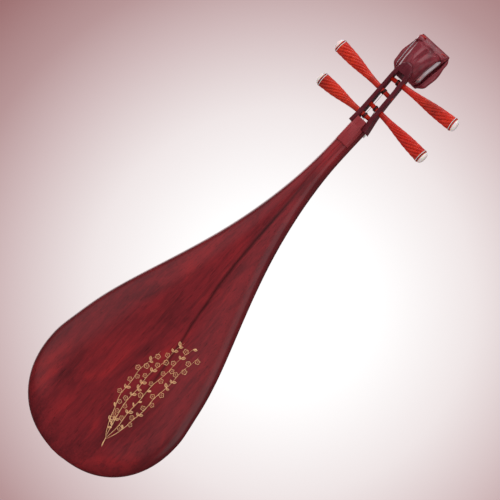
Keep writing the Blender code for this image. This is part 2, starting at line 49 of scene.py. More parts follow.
BODY_WIDTH, WIDEST_AT, TAIL_ROUNDNESS, TAIL_FLAT = 0.307, 0.157, 2.2, 0.015
TAPER = (
    (0.157, 0.1535), (0.200, 0.1478), (0.250, 0.1377), (0.350, 0.1060), (0.440, 0.0737),
    (0.520, 0.0490), (0.600, 0.0310), (0.680, 0.0200), (0.715, 0.0177), (0.757, 0.0170), (0.798, 0.0170),
)
TAIL_DEPTH, TAIL_REACH, TAIL_CURVE = 0.020, 0.080, 2.2
DEPTH = (
    (TAIL_REACH, 0.0425), (0.180, 0.0470), (0.330, 0.0440), (0.470, 0.0385), (0.612, 0.0345),
    (0.757, 0.0330), (0.798, 0.0330),
)
SIDE_FULLNESS, BACK_FULLNESS = 2.8, 2.2
RIDGE_HEIGHT, RIDGE_FROM, RIDGE_TO = 0.0035, 0.22, 0.57
WALL_SIDE, WALL_BACK, HOLLOW_TOP = 0.012, 0.007, 0.503
RIM, BOARD_THICKNESS, BOARD_TOP = 0.004, 0.005, 0.539
LEAN, PEGBOX_CENTRE = math.radians(16.0), 0.0155
PEGBOX = (
    # height, half-width, front and back of the centre line
    (0.7983, 0.0200, -0.0335, 0.0150), (0.8080, 0.0190, -0.0325, 0.0150), (0.8250, 0.0174, -0.0265, 0.0149),
    (0.8430, 0.0168, -0.0175, 0.0147), (0.8630, 0.0163, -0.0152, 0.0144), (0.9110, 0.0157, -0.0145, 0.0135),
    (0.9250, 0.0147, -0.0140, 0.0125), (0.9350, 0.0117, -0.0135, 0.0105), (0.9420, 0.0069, -0.0120, 0.0075),
    (0.9450, 0.0030, -0.0090, 0.0030),
)
SLOT_HALF, SLOT_FROM, SLOT_TO = 0.0095, 0.8085, 0.9125
RECESS_HALF, RECESS_FLOOR, RECESS_TO = 0.0075, 0.0535, 0.9210
THROAT = (
    (0.7975, 0.0138, -0.0190), (0.8085, 0.0132, -0.0025), (0.8250, 0.0115, 0.0240), (0.8450, 0.0095, 0.0300),
)
HEAD = (
    # height, leaf half-width, leaf back, leaf edge, core half-width, core back, core front, side hollows
    (0.9190, 0.0225, 0.0360, 0.0150, 0.0265, 0.0030, -0.008, 0.2),
    (0.9270, 0.0262, 0.0460, 0.0170, 0.0345, 0.0060, -0.018, 0.8),
    (0.9390, 0.0284, 0.0535, 0.0195, 0.0392, 0.0060, -0.029, 1.0),
    (0.9530, 0.0294, 0.0540, 0.0201, 0.0412, 0.0040, -0.034, 1.0),
    (0.9680, 0.0308, 0.0465, 0.0165, 0.0404, -0.0010, -0.033, 1.0),
    (0.9830, 0.0322, 0.0335, 0.0110, 0.0378, -0.0060, -0.028, 0.5),
    (0.9950, 0.0338, 0.0150, 0.0020, 0.0357, -0.0110, -0.022, 0.1),
    (1.0030, 0.0335, 0.0010, -0.0060, 0.0312, -0.0130, -0.019, 0.1),
)
BLOCK_FROM, BLOCK_SEAT, BLOCK_BACK = 0.757, 0.020, 0.0385
BLOCK_BASE_HALF, BLOCK_BACK_HALF, BLOCK_TONGUE_HALF, BLOCK_TONGUE_TOP = 0.0142, 0.0108, 0.0105, 0.814
PEGS = (
    (1, 1, 0.8225, math.radians(-2.4), 0.089), (2, -1, 0.8440, math.radians(-3.7), 0.107),
    (3, 1, 0.8760, math.radians(4.0), 0.103), (4, -1, 0.9040, math.radians(5.5), 0.114),
)
SHAFT_END, SHAFT_END_RADIUS = -0.0163, 0.0041
SHOULDER, SHOULDER_RADIUS = 0.0178, 0.0049
HANDLE_RADIUS = 0.0132
HANDLE_FLARE = (
    (0.0, 0.0055), (0.15, 0.0061), (0.32, 0.0079), (0.50, 0.0103), (0.68, 0.0121), (0.86, 0.0129),
    (1.0, HANDLE_RADIUS),
)
BORE_PLAY, BORE_REACH = 0.0004, 0.030
CAP_LENGTH, CAP_RADIUS = 0.0065, 0.0118
WINDING_AT = {1: 0.0035, 2: 0.0035, 3: 0.0045, 4: 0.0045}
WINDING_LENGTH = 0.0055
NUT_FROM, NUT_TO, NUT_HEIGHT, NUT_HALF = 0.7915, 0.7975, 0.0215, 0.0160
HOLDER_FROM, HOLDER_TO, HOLDER_HEIGHT = 0.046, 0.068, 0.0120
FACING_FROM, FACING_TO, FACING_HEIGHT, FACING_HALF = 0.0683, 0.0745, 0.0165, 0.024
HOLDER_STRING_HEIGHT = 0.0125
STRINGS = {
    1: (0.00375, 0.0055, 0.00040), 2: (-0.00375, -0.0055, 0.00050),
    3: (0.01125, 0.0165, 0.00035), 4: (-0.01125, -0.0165, 0.00065),
}

# The view
CAMERA_AZIMUTH, CAMERA_ROLL = math.radians(190.0), math.radians(43.0)
CAMERA_AIM = Vector((-0.0068, 0.0, 0.5046))
LENS, SENSOR, SEEN_WIDTH = 400.0, 36.0, 0.90
BACKDROP_AZIMUTH, WALL_SHIFT = 10, 0.26

# Soft patches of light that the lacquer reflects: azimuth, elevation, outer and inner angle, strength
SURROUNDINGS = (
    (30, 0, 28, 12, 1.1),
    (118, 10, 42, 20, 0.26),
    (212, 14, 40, 14, 0.20),
    (266, 10, 30, 10, 0.46),
    (180, 68, 36, 8, 1.1),
    (10, 55, 34, 12, 0.30),
    (10, 60, 179, 0, 0.04),
)


def smooth_through(knots):
    """A cubic spline through (place, value) knots, level at both ends."""
    places = np.array([k[0] for k in knots])
    values = np.array([k[1] for k in knots])
    steps = np.diff(places)
    rises = np.diff(values) / steps
    count = len(knots)
    system = np.zeros((count, count))
    right = np.zeros(count)
    system[0, 0] = system[-1, -1] = 1.0
    for i in range(1, count - 1):
        system[i, i - 1] = steps[i]
        system[i, i] = 2 * (steps[i - 1] + steps[i])
        system[i, i + 1] = steps[i - 1]
        right[i] = 3 * (steps[i] * rises[i - 1] + steps[i - 1] * rises[i])
    slopes = np.linalg.solve(system, right)

    def value(place):
        i = int(np.clip(np.searchsorted(places, place) - 1, 0, count - 2))
        t = (place - places[i]) / steps[i]
        a = (2 * t + 1) * (1 - t) ** 2 * values[i] + t * (1 - t) ** 2 * steps[i] * slopes[i]
        b = t * t * (3 - 2 * t) * values[i + 1] + t * t * (t - 1) * steps[i] * slopes[i + 1]
        return float(a + b)

    return value


def straight_through(knots):
    places, values = zip(*knots)
    return lambda place: float(np.interp(place, places, values))


def along_line(points):
    """The length of a line through (x, z) points, and a call that gives the place at a distance along it."""
    lengths = [0.0]
    for (x0, z0), (x1, z1) in zip(points, points[1:]):
        lengths.append(lengths[-1] + math.hypot(x1 - x0, z1 - z0))
    xs, zs = zip(*points)

    def at(distance):
        return float(np.interp(distance, lengths, xs)), float(np.interp(distance, lengths, zs))

    return lengths[-1], at


def swung(angle, ahead, aside):
    """An offset ahead and aside, for a direction turned by an angle."""
    return (
        ahead * math.cos(angle) - aside * math.sin(angle),
        ahead * math.sin(angle) + aside * math.cos(angle),
    )


taper_at = smooth_through(TAPER)
deep_at = smooth_through(DEPTH)


def step_between(low, high, value):
    t = min(1.0, max(0.0, (value - low) / (high - low)))
    return t * t * (3 - 2 * t)


def half_width(height, inset=0.0):
    if height >= WIDEST_AT:
        return taper_at(height) - inset
    reach = (WIDEST_AT - height) / (WIDEST_AT - inset)
    if reach >= 1:
        return TAIL_FLAT
    oval = (BODY_WIDTH / 2 - inset) * (1 - reach**TAIL_ROUNDNESS) ** (1 / TAIL_ROUNDNESS)
    return max(TAIL_FLAT, oval)


def depth(height):
    if height >= TAIL_REACH:
        return deep_at(height)
    share = (TAIL_REACH - height) / TAIL_REACH
    return TAIL_DEPTH + (DEPTH[0][1] - TAIL_DEPTH) * math.sqrt(max(0.0, 1 - share**TAIL_CURVE))


def ridge(height):
    return RIDGE_HEIGHT * step_between(RIDGE_FROM, RIDGE_TO, height)


def back_arc(height, count, inset=0.0, wall=0.0):
    """Points of one cross-section of the back, from one edge over the middle to the other."""
    wide = half_width(height, inset)
    deep = depth(height) - wall
    peak = 0.0 if wall else ridge(height)
    points = []
    for i in range(count):
        angle = math.pi * i / (count - 1)
        across = abs(math.cos(angle)) ** (2 / SIDE_FULLNESS)
        x = math.copysign(across, math.cos(angle)) * wide
        y = deep * math.sin(angle) ** (2 / BACK_FULLNESS) if 0 < i < count - 1 else 0.0
        points.append((x, y + peak * (1 - across) * min(1.0, y / deep * 2)))
    return points


def back_surface(x, height):
    """How far the back stands out at a place."""
    across = min(1.0, abs(x) / half_width(height))
    deep = depth(height)
    y = deep * (1 - across**SIDE_FULLNESS) ** (1 / BACK_FULLNESS)
    return y + ridge(height) * (1 - across) * min(1.0, y / deep * 2)


def heights_between(low, high, count, bunch=1.0):
    return [low + (high - low) * (i / (count - 1)) ** bunch for i in range(count)]


# Making meshes


def coat(data, finish):
    """Gives a mesh one material in place of those it has."""
    data.materials.clear()
    data.materials.append(finish)


def shade(data, smooth_angle):
    """Shades a mesh smooth, apart from edges sharper than an angle in degrees."""
    data.shade_smooth()
    data.set_sharp_from_angle(angle=math.radians(smooth_angle))


def add(name, data, finish=None, smooth_angle=35):
    made = bpy.data.objects.new(name, data)
    bpy.context.scene.collection.objects.link(made)
    if finish:
        coat(data, finish)
    if smooth_angle is not None:
        shade(data, smooth_angle)
    return made


def to_mesh(name, shape):
    data = bpy.data.meshes.new(name)
    bmesh.ops.recalc_face_normals(shape, faces=shape.faces)
    shape.to_mesh(data)
    shape.free()
    return data


def skin(shape, rows):
    """Joins each closed row of vertices to the next with a band of faces."""
    for low, high in zip(rows, rows[1:]):
        for i in range(len(low)):
            j = (i + 1) % len(low)
            shape.faces.new((low[i], low[j], high[j], high[i]))


def loft(name, rings, finish=None, smooth_angle=35):
    """A closed solid through rings of the same number of points, with a flat cap on each end."""
    shape = bmesh.new()
    rows = [[shape.verts.new(point) for point in ring] for ring in rings]
    skin(shape, rows)
    shape.faces.new(rows[0])
    shape.faces.new(rows[-1])
    return add(name, to_mesh(name, shape), finish, smooth_angle)


def box(name, low, high, finish=None):
    shape = bmesh.new()
    bmesh.ops.create_cube(shape, size=1.0)
    bmesh.ops.scale(shape, vec=Vector(high) - Vector(low), verts=shape.verts)
    bmesh.ops.translate(shape, vec=(Vector(high) + Vector(low)) / 2, verts=shape.verts)
    return add(name, to_mesh(name, shape), finish, None)


def turned(name, profile, sides, finish=None, smooth_angle=35):
    """A closed solid of revolution about Z through (radius, along) points, first and last on the axis."""
    shape = bmesh.new()
    turns = [2 * math.pi * i / sides for i in range(sides)]
    rows = []
    for radius, along in profile[1:-1]:
        rows.append([shape.verts.new((radius * math.cos(a), radius * math.sin(a), along)) for a in turns])
    ends = [shape.verts.new((0, 0, profile[0][1])), shape.verts.new((0, 0, profile[-1][1]))]
    skin(shape, rows)
    for end, row in zip(ends, (rows[0], rows[-1])):
        for i in range(sides):
            shape.faces.new((end, row[i], row[(i + 1) % sides]))
    return add(name, to_mesh(name, shape), finish, smooth_angle)


def baked(made, smooth_angle=35):
    """Applies an object's modifiers to its mesh."""
    bpy.context.view_layer.update()
    graph = bpy.context.evaluated_depsgraph_get()
    data = bpy.data.meshes.new_from_object(made.evaluated_get(graph))
    made.modifiers.clear()
    made.data = data
    shade(data, smooth_angle)
    return made


def carved(made, cutters, smooth_angle=35):
    """Cuts closed shapes out of an object and deletes them."""
    for cutter in cutters:
        modifier = made.modifiers.new(cutter.name, "BOOLEAN")
        modifier.operation = "DIFFERENCE"
        modifier.object = cutter
    baked(made, smooth_angle)
    for cutter in cutters:
        bpy.data.objects.remove(cutter, do_unlink=True)
    return made


def softened(made, width, segments=3, angle=40):
    bevel = made.modifiers.new("rounded_edges", "BEVEL")
    bevel.width = width
    bevel.segments = segments
    bevel.limit_method = "ANGLE"
    bevel.angle_limit = math.radians(angle)
    bevel.harden_normals = True
    return made


def even_normals(made):
    weighted = made.modifiers.new("even_normals", "WEIGHTED_NORMAL")
    weighted.keep_sharp = True
    return made


def placed(piece, body, slot, *nodes):
    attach(piece, body)
    if nodes:
        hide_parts(*nodes)
    return piece


# Materials


class Nodes:
    """Short calls for the nodes of one material."""

    def __init__(self, name):
        self.material = bpy.data.materials.new(name)
        self.material.use_nodes = True
        self.tree = self.material.node_tree
        self.shader = self.tree.nodes["Principled BSDF"]
        self.place = self.tree.nodes.new("ShaderNodeTexCoord").outputs["Object"]

    def node(self, kind, **values):
        made = self.tree.nodes.new(kind)
        for key, value in values.items():
            setattr(made, key, value)
        return made

    def link(self, output, socket):
        self.tree.links.new(output, socket)

    def feed(self, socket, value):
        """Sets a socket to a number or a colour, or links a node's output to it."""
        if isinstance(value, (int, float)):
            socket.default_value = value
        elif isinstance(value, tuple):
            socket.default_value = (*value, 1.0)
        else:
            self.link(value, socket)

    def stretched(self, scale):
        """The place on the object, scaled along each axis: a small scale draws a pattern out."""
        made = self.node("ShaderNodeMapping")
        made.inputs["Scale"].default_value = scale
        self.link(self.place, made.inputs["Vector"])
        return made.outputs["Vector"]

    def noise(self, vector, scale, detail=4.0, roughness=0.5, distortion=0.0):
        made = self.node("ShaderNodeTexNoise")
        made.inputs["Scale"].default_value = scale
        made.inputs["Detail"].default_value = detail
        made.inputs["Roughness"].default_value = roughness
        made.inputs["Distortion"].default_value = distortion
        self.link(vector, made.inputs["Vector"])
        return made.outputs["Fac"]

    def ramp(self, value, stops, interpolation="LINEAR"):
        made = self.node("ShaderNodeValToRGB")
        made.color_ramp.interpolation = interpolation
        points = made.color_ramp.elements
        while len(points) < len(stops):
            points.new(0.5)
        for point, (place, colour) in zip(points, stops):
            point.position = place
            point.color = (*colour, 1.0)
        self.link(value, made.inputs["Fac"])
        return made.outputs["Color"]

    def mixed(self, share, first, second):
        """A share of the second colour over the first."""
        made = self.node("ShaderNodeMix", data_type="RGBA")
        # the sockets of a colour mix: its factor, A and B, and its result
        for index, value in ((0, share), (6, first), (7, second)):
            self.feed(made.inputs[index], value)
        return made.outputs[2]

    def ranged(self, value, low, high, from_low=0.0, from_high=1.0):
        made = self.node("ShaderNodeMapRange")
        made.inputs["From Min"].default_value = from_low
        made.inputs["From Max"].default_value = from_high
        made.inputs["To Min"].default_value = low
        made.inputs["To Max"].default_value = high
        self.link(value, made.inputs["Value"])
        return made.outputs["Result"]

    def summed(self, first, second, operation="ADD"):
        made = self.node("ShaderNodeMath", operation=operation)
        for socket, value in zip(made.inputs, (first, second)):
            self.feed(socket, value)
        return made.outputs["Value"]

    def bump(self, height, strength, distance):
        made = self.node("ShaderNodeBump")
        made.inputs["Strength"].default_value = strength
        made.inputs["Distance"].default_value = distance
        self.link(height, made.inputs["Height"])
        return made.outputs["Normal"]

    def set(self, **values):
        """Sets the shader's own inputs, named with _ for a space, and returns the material."""
        for key, value in values.items():
            self.feed(self.shader.inputs[key.replace("_", " ")], value)
        return self.material


def painted_shade_line(n, points):
    """Painted shade: a soft dark line through (height, x) points, faint at both ends, laid along the back's
    lacquer.
    """
    reach = 0.10
    core, edge, darkest = 0.0004, 0.0046, 0.85
    parts = n.node("ShaderNodeSeparateXYZ")
    n.link(n.place, parts.inputs["Vector"])
    low, high = points[0][0], points[-1][0]
    along = n.ranged(parts.outputs["Z"], 0.0, 1.0, low, high)
    grey = [((z - low) / (high - low), (-x / reach,) * 3) for z, x in points]
    x_there = n.summed(n.ramp(along, grey, "CARDINAL"), -reach, "MULTIPLY")
    off = n.summed(parts.outputs["X"], x_there, "SUBTRACT")
    near = n.ranged(n.summed(off, 0.0, "ABSOLUTE"), darkest, 0.0, core, edge)
    ends = n.ramp(along, ((0.0, (0, 0, 0)), (0.22, (0.8, 0.8, 0.8)), (0.80, (1, 1, 1)), (1.0, (0, 0, 0))))
    return n.summed(near, ends, "MULTIPLY")


# Painted shade: the body's lacquer darkens towards its rim, where the back turns away from the light: the depths
# between which it does, and how dark it gets
SHADED_RIM_FROM, SHADED_RIM_TO, SHADED_RIM_SHARE = 0.010, 0.034, 0.62


def lacquered_wood(
    name, dark, middle, bright, grain=1.0, mottle=1.0, coat_roughness=0.07, coat_weight=1.0, shade_path=()
):
    """Clear lacquer over dyed wood: fine lengthwise grain, pores, and broad cloudy patches below the gloss."""
    n = Nodes(name)
    fine = n.noise(n.stretched((1.0, 1.0, 0.05)), 520.0, 5.0, 0.6)
    streak = n.noise(n.stretched((1.0, 1.0, 0.11)), 95.0, 4.0, 0.55, 0.6)
    cloud = n.noise(n.stretched((1.0, 1.0, 0.45)), 17.0, 3.0, 0.55, 0.8)
    patch = n.noise(n.stretched((1.0, 1.0, 0.7)), 6.5, 2.0, 0.5, 0.5)
    pores = n.noise(n.stretched((1.0, 1.0, 0.035)), 900.0, 2.0, 0.5)
    base = n.ramp(cloud, ((0.30, dark), (0.52, middle), (0.74, bright)), "EASE")
    broad = n.mixed(n.ranged(patch, 0.0, 0.55 * mottle, 0.42, 0.66), base, bright)
    lined = n.mixed(n.ranged(streak, 0.0, 0.60 * grain, 0.46, 0.66), broad, dark)
    hairs = n.mixed(n.ranged(fine, 0.0, 0.45 * grain, 0.50, 0.68), lined, bright)
    colour = n.mixed(n.ranged(pores, 0.0, 0.75 * grain, 0.62, 0.70), hairs, tuple(c * 0.35 for c in dark))
    if shade_path:
        parts = n.node("ShaderNodeSeparateXYZ")
        n.link(n.place, parts.inputs["Vector"])
        # Painted shade: darker lacquer near the rim, where the back turns away from the light
        edge = n.ranged(parts.outputs["Y"], SHADED_RIM_SHARE, 0.0, SHADED_RIM_FROM, SHADED_RIM_TO)
        colour = n.mixed(edge, colour, tuple(c * 0.40 for c in dark))
        # Painted shade: a soft dark line down the back
        colour = n.mixed(painted_shade_line(n, shade_path), colour, tuple(c * 0.25 for c in dark))
    relief = n.summed(n.summed(fine, 0.5, "MULTIPLY"), pores)
    n.set(
        Base_Color=colour,
        Roughness=n.ranged(fine, 0.34, 0.48, 0.3, 0.7),
        Normal=n.bump(relief, 0.10 * grain, 0.0004),
        Coat_Weight=coat_weight,
        Coat_Roughness=coat_roughness,
        Coat_IOR=1.5,
        Specular_IOR_Level=0.35,
    )
    waves = n.noise(n.stretched((1.0, 1.0, 0.4)), 26.0, 2.0, 0.4)
    n.link(n.bump(waves, 0.05, 0.0008), n.shader.inputs["Coat Normal"])
    return n.material


def soundboard_wood():
    """Oiled paulownia: long straight grain with soft darker lines."""
    n = Nodes("paulownia_grain")
    warp = n.noise(n.stretched((1.0, 1.0, 0.16)), 7.0, 3.0, 0.5)
    lines = n.node("ShaderNodeTexWave", wave_type="BANDS", bands_direction="X", wave_profile="SAW")
    lines.inputs["Scale"].default_value = 62.0
    lines.inputs["Distortion"].default_value = 9.0
    lines.inputs["Detail"].default_value = 2.5
    lines.inputs["Detail Scale"].default_value = 0.35
    n.link(n.stretched((1.0, 1.0, 0.045)), lines.inputs["Vector"])
    fibre = n.noise(n.stretched((1.0, 1.0, 0.02)), 900.0, 3.0, 0.6)
    tint = n.ramp(warp, ((0.30, (0.50, 0.33, 0.165)), (0.70, (0.64, 0.45, 0.25))))
    ringed = n.mixed(n.ranged(lines.outputs["Fac"], 0.0, 0.62, 0.45, 1.0), tint, (0.33, 0.19, 0.085))
    colour = n.mixed(n.ranged(fibre, 0.0, 0.35, 0.5, 0.75), ringed, (0.74, 0.55, 0.33))
    relief = n.summed(lines.outputs["Fac"], n.summed(fibre, 0.4, "MULTIPLY"))
    return n.set(
        Base_Color=colour,
        Roughness=n.ranged(fibre, 0.42, 0.60, 0.3, 0.7),
        Normal=n.bump(relief, 0.25, 0.0003),
    )


def raw_wood(name, dark, light):
    """Planed wood without a finish, with its grain across the instrument."""
    n = Nodes(name)
    grain = n.noise(n.stretched((0.08, 1.0, 1.0)), 420.0, 4.0, 0.6)
    cloud = n.noise(n.place, 30.0, 3.0)
    colour = n.mixed(n.ranged(grain, 0.0, 0.8, 0.4, 0.65), n.ramp(cloud, ((0.35, light), (0.65, dark))), dark)
    return n.set(Base_Color=colour, Roughness=n.ranged(grain, 0.6, 0.8), Normal=n.bump(grain, 0.3, 0.0003))


def bamboo_strip():
    """Bamboo with its skin side up: long fibres along each fret and a satin polish."""
    n = Nodes("bamboo_fibres")
    fibre = n.noise(n.stretched((0.04, 1.0, 1.0)), 1500.0, 3.0, 0.6)
    tone = n.noise(n.stretched((0.3, 1.0, 1.0)), 70.0, 3.0)
    base = n.ramp(tone, ((0.3, (0.58, 0.39, 0.17)), (0.7, (0.74, 0.56, 0.29))))
    colour = n.mixed(n.ranged(fibre, 0.0, 0.75, 0.48, 0.68), base, (0.38, 0.22, 0.085))
    return n.set(
        Base_Color=colour,
        Roughness=n.ranged(fibre, 0.28, 0.42),
        Normal=n.bump(fibre, 0.20, 0.0002),
        Coat_Weight=0.35,
        Coat_Roughness=0.2,
    )


def polished_horn(name, pale, amber, smoke, roughness=0.22):
    """Ox horn or bone: translucent, with faint clouds and long fibres."""
    n = Nodes(name)
    cloud = n.noise(n.stretched((1.0, 1.0, 0.5)), 55.0, 4.0, 0.55, 0.7)
    fibre = n.noise(n.stretched((0.08, 1.0, 1.0)), 800.0, 3.0, 0.6)
    base = n.ramp(cloud, ((0.32, pale), (0.58, amber), (0.80, smoke)))
    colour = n.mixed(n.ranged(fibre, 0.0, 0.35, 0.5, 0.72), base, amber)
    return n.set(
        Base_Color=colour,
        Roughness=n.ranged(fibre, roughness * 0.8, roughness * 1.4),
        Normal=n.bump(fibre, 0.06, 0.0002),
        Subsurface_Weight=0.25,
        Subsurface_Scale=0.002,
        Coat_Weight=0.4,
        Coat_Roughness=0.08,
    )


def wound_wire(name, colour, dull, turns_per_metre):
    """Wire with its fine flat winding, dulled in places by handling."""
    n = Nodes(name)
    turns = n.node("ShaderNodeTexWave", wave_type="BANDS", bands_direction="Z", wave_profile="SIN")
    turns.inputs["Scale"].default_value = turns_per_metre / 20
    n.link(n.place, turns.inputs["Vector"])
    worn = n.noise(n.place, 40.0, 3.0)
    return n.set(
        Base_Color=n.mixed(n.ranged(worn, 0.0, 0.6, 0.45, 0.7), colour, dull),
        Metallic=0.85,
        Roughness=n.ranged(worn, 0.24, 0.42, 0.3, 0.7),
        Normal=n.bump(turns.outputs["Fac"], 0.35, 0.0001),
    )


def painted_highlight_skin():
    """Painted highlight: a pale skin that shines like metal, laid where the leaf's border shows a bright
    reflection.
    """
    n = Nodes("painted_highlight_skin")
    uneven = n.noise(n.place, 240.0, 3.0, 0.5)
    return n.set(
        Base_Color=n.ramp(uneven, ((0.30, (0.74, 0.64, 0.68)), (0.70, (0.98, 0.92, 0.94)))),
        Metallic=0.85,
        Roughness=n.ranged(uneven, 0.24, 0.38),
    )


def gilding():
    """Gold paint: a warm pale gold, thin and a little uneven."""
    n = Nodes("gilt_paint")
    uneven = n.noise(n.place, 300.0, 4.0, 0.6)
    wear = n.noise(n.place, 1400.0, 2.0, 0.5)
    gold = n.ramp(uneven, ((0.30, (0.86, 0.50, 0.20)), (0.55, (0.96, 0.64, 0.32)), (0.80, (1.0, 0.78, 0.48))))
    return n.set(
        Base_Color=n.mixed(n.ranged(wear, 0.0, 0.5, 0.58, 0.74), gold, (0.50, 0.20, 0.08)),
        Metallic=0.10,
        Roughness=n.ranged(uneven, 0.36, 0.52),
        Normal=n.bump(uneven, 0.2, 0.0001),
    )


# The painted shade line down the back: height, place across
SHADE_LINE_PATH = (
    (0.090, -0.0560), (0.172, -0.0555), (0.313, -0.0350), (0.399, -0.0205), (0.466, -0.0120), (0.622, -0.0057),
    (0.700, -0.0030),
)
BODY_LACQUER = lacquered_wood(
    "body_lacquer", (0.105, 0.009, 0.014), (0.205, 0.012, 0.019), (0.330, 0.015, 0.020), shade_path=SHADE_LINE_PATH
)
# The head's lacquer, lighter and pinker than the body's: a painted sheen for the soft reflection on its lobes
SHEEN_CARVED_LACQUER = lacquered_wood(
    "sheen_carved_lacquer", (0.100, 0.011, 0.019), (0.215, 0.024, 0.038), (0.330, 0.045, 0.062), 0.8, 0.8, 0.12
)
PEGBOX_LACQUER = lacquered_wood(
    "pegbox_lacquer", (0.070, 0.009, 0.016), (0.125, 0.014, 0.024), (0.190, 0.020, 0.032), 1.0, 0.6, 0.10
)
# The neck block's lacquer, lighter than the body's: painted light for the light its flat back catches
LIT_BLOCK_LACQUER = lacquered_wood(
    "lit_block_lacquer", (0.215, 0.022, 0.028), (0.300, 0.032, 0.040), (0.380, 0.045, 0.052), 0.7, 0.6, 0.10
)
PEG_LACQUER = lacquered_wood(
    "peg_lacquer", (0.30, 0.012, 0.008), (0.60, 0.018, 0.008), (0.80, 0.055, 0.014), 0.6, 0.9, 0.14, 0.7
)
HOLDER_LACQUER = lacquered_wood(
    "holder_lacquer", (0.060, 0.010, 0.010), (0.105, 0.016, 0.014), (0.160, 0.022, 0.018)
)
HIGHLIGHT_SKIN = painted_highlight_skin()
# Painted highlight: a lighter red lacquer for the curls at the ends of the head's roll
LIT_VOLUTE_LACQUER = lacquered_wood(
    "lit_volute_lacquer", (0.22, 0.016, 0.018), (0.42, 0.030, 0.032), (0.62, 0.06, 0.055), 0.6, 0.6, 0.08
)
PAULOWNIA = soundboard_wood()
SPRUCE = raw_wood("planed_spruce", (0.52, 0.34, 0.17), (0.72, 0.53, 0.31))
BAMBOO = bamboo_strip()
HORN = polished_horn("ox_horn", (0.62, 0.50, 0.33), (0.50, 0.34, 0.17), (0.16, 0.085, 0.04))
BONE = polished_horn("polished_bone", (0.92, 0.91, 0.89), (0.90, 0.87, 0.82), (0.80, 0.75, 0.68), 0.16)
DARK_RING = polished_horn("dark_ring", (0.020, 0.012, 0.012), (0.028, 0.016, 0.014), (0.012, 0.008, 0.008), 0.25)
WIRE = wound_wire("string_metal", (0.62, 0.58, 0.52), (0.30, 0.26, 0.22), 60000.0)
WOUND_WIRE = wound_wire("winding_metal", (0.30, 0.12, 0.11), (0.14, 0.05, 0.05), 5200.0)
GILT = gilding()


# Body


def make_back():
    """The carved shell with its neck: a rim for the soundboard, the hollow, and a seat for the neck block."""
    low = heights_between(0.0, WIDEST_AT, 56, bunch=1.9)
    high = heights_between(WIDEST_AT, BLOCK_FROM, 110)[1:]
    neck = heights_between(BLOCK_FROM, NECK_TOP, 6)[1:]
    rings = [[(x, y, z) for x, y in back_arc(z, 113)] for z in [*low, *high, *neck]]
    shell = loft("carved_back", rings, BODY_LACQUER, 50)
    low = heights_between(RIM - GAP, WIDEST_AT, 40, bunch=2.0)
    high = heights_between(WIDEST_AT, BOARD_TOP + GAP, 60)[1:]
    side = [(half_width(z, RIM - GAP), z) for z in [*low, *high]]
    outline = side + [(-x, z) for x, z in reversed(side)]
    deep = BOARD_THICKNESS + GAP
    recess = loft("soundboard_recess", [[(x, y, z) for x, z in outline] for y in (-deep, deep)])
    low = heights_between(WALL_SIDE + 0.002, WIDEST_AT, 14, bunch=1.6)
    high = heights_between(WIDEST_AT, HOLLOW_TOP, 18)[1:]
    rings = []
    for height in [*low, *high]:
        arc = back_arc(height, 33, inset=WALL_SIDE, wall=WALL_BACK)
        wide = arc[0][0]
        rings.append([(x, y, height) for x, y in arc] + [(-wide, -0.01, height), (wide, -0.01, height)])
    hollow = loft("hollow", rings)
    seat = box("neck_block_seat", (-0.03, BLOCK_SEAT, BLOCK_FROM), (0.03, 0.06, NECK_TOP + 0.01))
    carved(shell, [recess, hollow, seat], 50)
    placed(shell, "root", "lacquered_rosewood", "back_shell")


def make_neck_block():
    """The raised block: a flat back, wide chamfers down its sides, and a tongue between the pegbox cheeks."""
    low = BLOCK_SEAT + GAP

    def section(height, base, back, top):
        waist = (base * 0.96, low + 0.30 * (top - low))
        half = [(base, low), waist, (back, top)]
        return [(x, y, height) for x, y in half] + [(-x, y, height) for x, y in reversed(half)]

    start, neck = BLOCK_FROM + GAP, NECK_TOP - GAP
    tongue = BLOCK_TONGUE_HALF
    rings = [
        section(start, BLOCK_BASE_HALF, BLOCK_BACK_HALF - 0.0006, BLOCK_BACK - 0.0014),
        section(start + 0.0016, BLOCK_BASE_HALF, BLOCK_BACK_HALF, BLOCK_BACK),
        section(neck, BLOCK_BASE_HALF, BLOCK_BACK_HALF, BLOCK_BACK),
        section(NECK_TOP, tongue, tongue - 0.0006, BLOCK_BACK),
        section(BLOCK_TONGUE_TOP - 0.0012, tongue, tongue - 0.0006, BLOCK_BACK),
        section(BLOCK_TONGUE_TOP, tongue, tongue - 0.0010, BLOCK_BACK - 0.0012),
    ]
    block = loft("neck_block_lacquered", rings, LIT_BLOCK_LACQUER, 25)
    softened(block, 0.0007, 3, 25)
    baked(block, 25)
    placed(block, "root", "neck_block_wood", "neck_block")


# Pegbox and head


def pegbox_centre(height):
    return PEGBOX_CENTRE + math.tan(LEAN) * (height - NECK_TOP)


def peg_matrix(number):
    """The peg's place: its origin on the pegbox's centre line, its local Z towards the handle's end."""
    _, side, height, fan, _ = PEGS[number - 1]
    up = Vector((0, math.sin(LEAN), math.cos(LEAN)))
    along = (Vector((side, 0, 0)) * math.cos(fan) + up * math.sin(fan)).normalized()
    across = up.cross(along).normalized()
    turn = Matrix((across, along.cross(across), along)).transposed().to_4x4()
    return Matrix.Translation((0, pegbox_centre(height), height)) @ turn


def shaft_radius(along):
    share = (along - SHAFT_END) / (SHOULDER - SHAFT_END)
    return SHAFT_END_RADIUS + (SHOULDER_RADIUS - SHAFT_END_RADIUS) * share


PEGBOX_PARTS = [straight_through([(s[0], s[i]) for s in PEGBOX]) for i in (1, 2, 3)]
PEGBOX_ROUNDING = 0.0026


